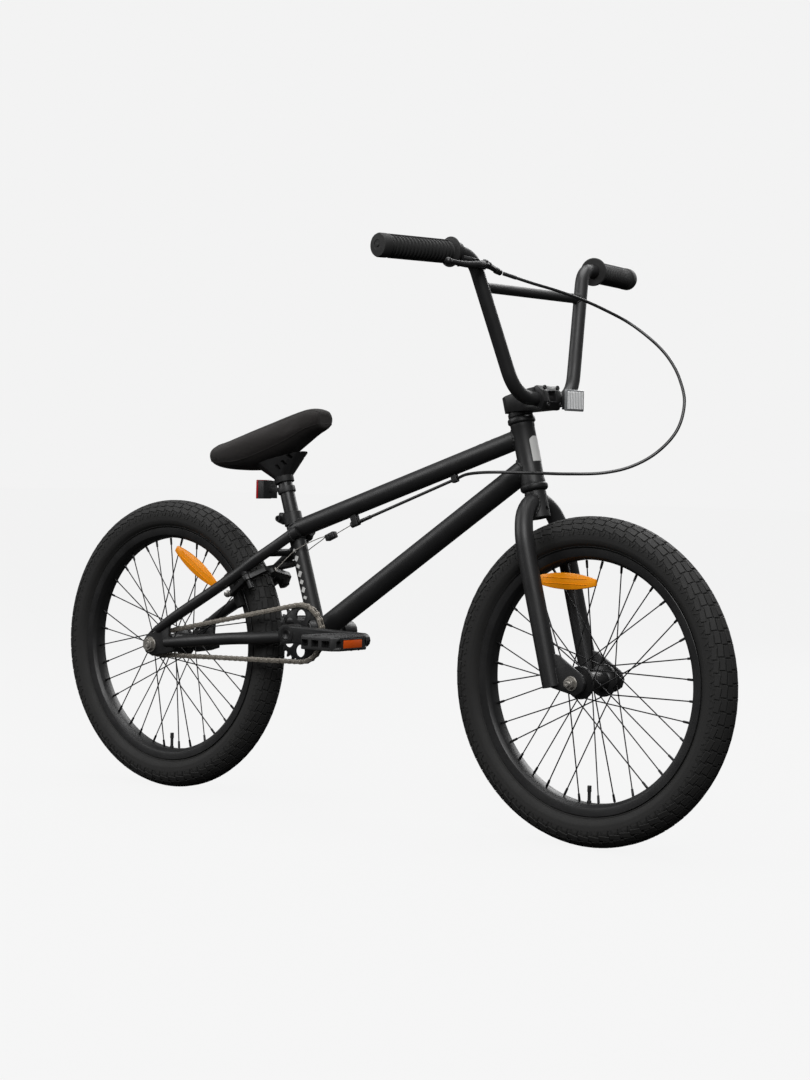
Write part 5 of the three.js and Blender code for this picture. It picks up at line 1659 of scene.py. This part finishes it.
@dataclass
class Brake:
    """A cantilever brake: arms, pads with their bolts, straddle wire, carrier, adjuster and cable."""

    pad_angle: float = 0.518
    route: tuple[tuple[float, float, float], ...] = (
        (345, -108, 893), (370, -70, 881), (388, -20, 871), (407, 30, 858), (429, 62, 843), (450, 85, 828),
        (476, 98, 808), (504, 104, 784), (523, 106, 762), (539, 104, 737), (554, 96, 700), (552, 80, 656),
        (531, 56, 620), (501, 30, 597), (467, 4, 586), (421, -24, 583), (367, -42, 583), (298, -40, 583),
        (241, -24, 581), (202, -7, 577))
    cable_radius: float = 2.5

    def build(self) -> None:
        """Makes the brake and its cable."""
        self.arms()
        self.pads()
        self.wires()
        self.cable()

    def arms(self) -> None:
        """Makes both arms with their pivot bolts and springs' coils."""
        for word, side in (("right", -1), ("left", 1)):
            node = f"{word}_brake_arm"
            arm = refined(f"{word}_caliper_arm", node, 0.9, 3)
            level = 14 if side < 0 else 27
            foot = onto_stay(0, level + 4, 43.5 * side)
            bolt = socket_bolt("bolt", foot, STUD_OUT, 5.6, 4.2)
            coil = [onto_stay(7.2 * math.cos(a), level - 5.5 + 0.32 * a, 43.5 * side + 7.2 * math.sin(a))
                    for a in (TURN * k / 18 for k in range(48))]
            spring = tube("spring", coil, 0.8, 8)
            dressed(joined(f"{word}_caliper_arm", arm, bolt, spring), ALLOY, f"{word}_brake", node)

    def pads(self) -> None:
        """Makes both pads with grooves, holders and silver nuts."""
        for word, side in (("right", -1), ("left", 1)):
            node = f"{word}_brake_pad"
            pad = refined(f"{word}_shoe", node, 1.1, 3)
            slots = []
            middle = (Vector(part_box(node)[0]) + Vector(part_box(node)[1])) / 2 / MM
            run = Vector((math.sin(self.pad_angle), 0, math.cos(self.pad_angle)))
            for shift in (-14, -7, 7, 14):
                at = middle + run * shift
                slots.append(block("slot", Vector((at.x, side * 20.6, at.z)), (14, 1.6, 1.5), self.pad_angle))
            pad = carved(pad, *slots)
            dressed(pad, GRIP, f"{word}_brake", node)
            out = ACROSS * side
            nut_at = Vector((middle.x, side * 47, middle.z))
            post = rod("post", nut_at - out * 17, nut_at + out * 7.5, 2.9, 24)
            washer = rod("washer", nut_at, nut_at + out * 1.4, 6.2, 32)
            nut = bevelled(rod("nut", nut_at + out * 1.3, nut_at + out * 5.4, 5.3, 6), 0.4, 2)
            dressed(joined(f"{word}_shoe_nut", post, washer, nut), BRIGHT, f"{word}_brake")

    def wires(self) -> None:
        """Makes the straddle wire, its carrier, the inner wire and the adjuster."""
        anchors = [onto_stay(55.5, 33, -31), onto_stay(55.5, 19, 31)]
        carrier = Vector((-88, 0, 466))
        apex = carrier + Vector((-12.5, 0, 0))
        path = [anchors[0], apex + Vector((-52, -17, -26)), apex + Vector((-4, -3.2, -2)),
                apex + Vector((-4, 3.2, -2)), apex + Vector((-52, 17, -26)), anchors[1]]
        wire = tube("straddle", smooth_path(path, 60), 0.8, 10)
        ends = [bevelled(rod("end", a - STUD_OUT * 3, a + STUD_OUT * 3, 1.5, 20), 0.3, 1) for a in anchors]
        dressed(joined("straddle_strand", wire, *ends), STEEL, "frame", "straddle_wire")
        hanger = refined("wire_hanger", "straddle_carrier", 1.3, 3)
        bolt = socket_bolt("bolt", carrier - ACROSS * 5.9, ACROSS * -1, 3.0, 0.9)
        dressed(joined("wire_hanger", hanger, bolt), ALLOY, "carrier", "straddle_carrier")
        inner_low, inner_high = (Vector(corner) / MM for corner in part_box("brake_inner_wire"))
        strand = [Vector((inner_low.x, 0, inner_low.z)).lerp(Vector((inner_high.x, 0, inner_high.z)), k / 7)
                  for k in range(8)]
        dressed(tube("inner_strand", strand, 0.75, 12), STEEL, "frame", "brake_inner_wire")
        outline = [(0.9, -8), (3.2, -8), (3.4, -7), (5.3, -6.4)]
        for k in range(4):
            outline += [(5.3, -6 + 2 * k), (4.7, -5.4 + 2 * k), (5.3, -4.8 + 2 * k)]
        outline += [(4.2, 2.4), (3.3, 3), (3.3, 22.4), (2.6, 23), (0.9, 23)]
        dressed(turned("barrel_adjuster", outline, CABLE_STOP, CABLE_LINE, 40), ALLOY, "frame",
                "cable_adjuster", smooth=40)

    def cable(self) -> None:
        """Runs the cable cover from the lever round the head tube to the stop."""
        line = CABLE_LINE
        route = [Vector(p) for p in self.route]
        route += [CABLE_CLIP + line * 8, CABLE_CLIP, CABLE_CLIP - line * 12, CABLE_STOP + line * 120,
                  CABLE_STOP + line * 24]
        path = evenly(smooth_path(route, 420), 300)
        cover = tube("cover", path, self.cable_radius, 24)
        first, last = path[0], path[-1]
        ferrules = [rod("ferrule", first, path[6], 3.1, 28), rod("ferrule", last, last + line * 11, 3.1, 28)]
        ring = turned("collar", [(2.3, 0), (3.4, 0), (3.4, 1.6), (2.3, 1.6)], last + line * 11, line, 28)
        cable = dressed(joined("brake_cable_cover", cover, *ferrules, ring), SLEEVE, "", "brake_cable")
        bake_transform(cable)


# ------------------------------------------------------------------ studio


@dataclass
class Studio:
    """Pale floor, soft lights and the camera."""

    camera_at: Vector = field(default_factory=lambda: Vector((2.4968, -3.0116, 0.5911)))
    azimuth: float = math.radians(38.717)
    elevation: float = math.radians(-0.026)
    roll: float = math.radians(1.347)
    lens: float = 77.205
    shift: tuple[float, float] = (-0.00523, -0.0704)
    backdrop: float = 0.896
    ambient: float = 0.22
    ground_shade: float = 0.022
    ground_glow: float = 0.884

    def build(self) -> None:
        """Makes the floor, the lights and the camera."""
        self.camera()
        self.floor()
        self.lights()
        self.tone()

    def camera(self) -> None:
        """Places the camera level with the bike, in front of its right side."""
        forward = Vector((-math.sin(self.azimuth) * math.cos(self.elevation),
                          math.cos(self.azimuth) * math.cos(self.elevation), -math.sin(self.elevation)))
        right = forward.cross(Vector((0, 0, 1))).normalized()
        up = right.cross(forward)
        c, s = math.cos(self.roll), math.sin(self.roll)
        right, up = right * c + up * s, up * c - right * s
        deselect()
        bpy.ops.object.camera_add()
        camera = bpy.context.object
        turn = Matrix((right, up, -forward)).transposed().to_4x4()
        camera.matrix_world = Matrix.Translation(self.camera_at) @ turn
        camera.data.lens = self.lens
        camera.data.shift_x, camera.data.shift_y = self.shift
        camera.data.clip_end = 60
        bpy.context.scene.camera = camera

    def floor(self) -> None:
        """Lays a plain pale floor."""
        deselect()
        bpy.ops.mesh.primitive_plane_add(size=60, location=(0, 0, -0.0004))
        ground = settle(bpy.context.object, "floor")
        material = bpy.data.materials.new("pale_ground")
        material.use_nodes = True
        shader = material.node_tree.nodes["Principled BSDF"]
        shader.inputs["Base Color"].default_value = (self.ground_shade,) * 3 + (1,)
        shader.inputs["Roughness"].default_value = 0.9
        shader.inputs["Specular IOR Level"].default_value = 0.0
        shader.inputs["Emission Color"].default_value = (1, 1, 1, 1)
        material.node_tree.links.new(self.seen_only(material.node_tree, self.ground_glow, 0.0),
                                     shader.inputs["Emission Strength"])
        ground.data.materials.append(material)

    @staticmethod
    def seen_only(tree: bpy.types.NodeTree, seen: float, cast: float) -> bpy.types.NodeSocket:
        """Returns a strength that differs between what is seen and what lights the bike."""
        path = tree.nodes.new("ShaderNodeLightPath")
        mix = tree.nodes.new("ShaderNodeMath")
        mix.operation = "MULTIPLY_ADD"
        mix.inputs[1].default_value = seen - cast
        mix.inputs[2].default_value = cast
        tree.links.new(path.outputs["Is Camera Ray"], mix.inputs[0])
        return mix.outputs[0]

    def lights(self) -> None:
        """Hangs three soft boxes round the bike."""
        for name, at, size, power in (("key", (2.6, -3.0, 3.2), 2.6, 150),
                                      ("fill", (-2.8, -2.6, 2.4), 2.8, 75),
                                      ("top", (0.1, 0.3, 3.6), 3.0, 110),
                                      ("back", (-0.4, 3.4, 2.2), 2.4, 60)):
            deselect()
            bpy.ops.object.light_add(type="AREA", location=at)
            lamp = bpy.context.object
            lamp.name = name
            lamp.data.shape = "DISK"
            lamp.data.size = size
            lamp.data.energy = power
            lamp.rotation_mode = "QUATERNION"
            lamp.rotation_quaternion = (Vector((0, 0, 0.45)) - Vector(at)).to_track_quat("-Z", "Y")

    def tone(self) -> None:
        """Fills the background with an even pale tone that lights the bike only a little."""
        world = bpy.data.worlds.new("even_light")
        world.use_nodes = True
        background = world.node_tree.nodes["Background"]
        background.inputs["Color"].default_value = (1, 1, 1, 1)
        world.node_tree.links.new(self.seen_only(world.node_tree, self.backdrop, self.ambient),
                                  background.inputs["Strength"])
        bpy.context.scene.world = world
        bpy.context.scene.view_settings.view_transform = "Standard"


def main() -> None:
    """Builds the bike part by part, then the studio."""
    parts = [
        Studio(),
        Brake(),
        Wheel("front", FRONT_AXLE, "steering", flange=32, barrel=15, bore=5.3, hub_end=49, axle_radius=5,
              axle_end=71, nut_face=57, nut_thickness=9.5, nut_radius=9, reflector_slope=0),
        Wheel("rear", REAR_AXLE, "frame", flange=27, barrel=17, bore=7.3, hub_end=39.5, axle_radius=7,
              axle_end=71.5,
              nut_face=61, nut_thickness=8.5, nut_radius=11.5, reflector_slope=-0.56),
        FrontTriangle(),
        RearTriangle(),
        Fork(),
        Cockpit(),
        Drivetrain(),
        Pedal("right", -1, BRACKET.x + 160),
        Pedal("left", 1, BRACKET.x - 160),
        Saddle(),
    ]
    for part in parts:
        part.build()
        LOG.info("built %s", type(part).__name__)
    deselect()


if __name__ == "__main__":
    logging.basicConfig(level=logging.INFO)
    main()
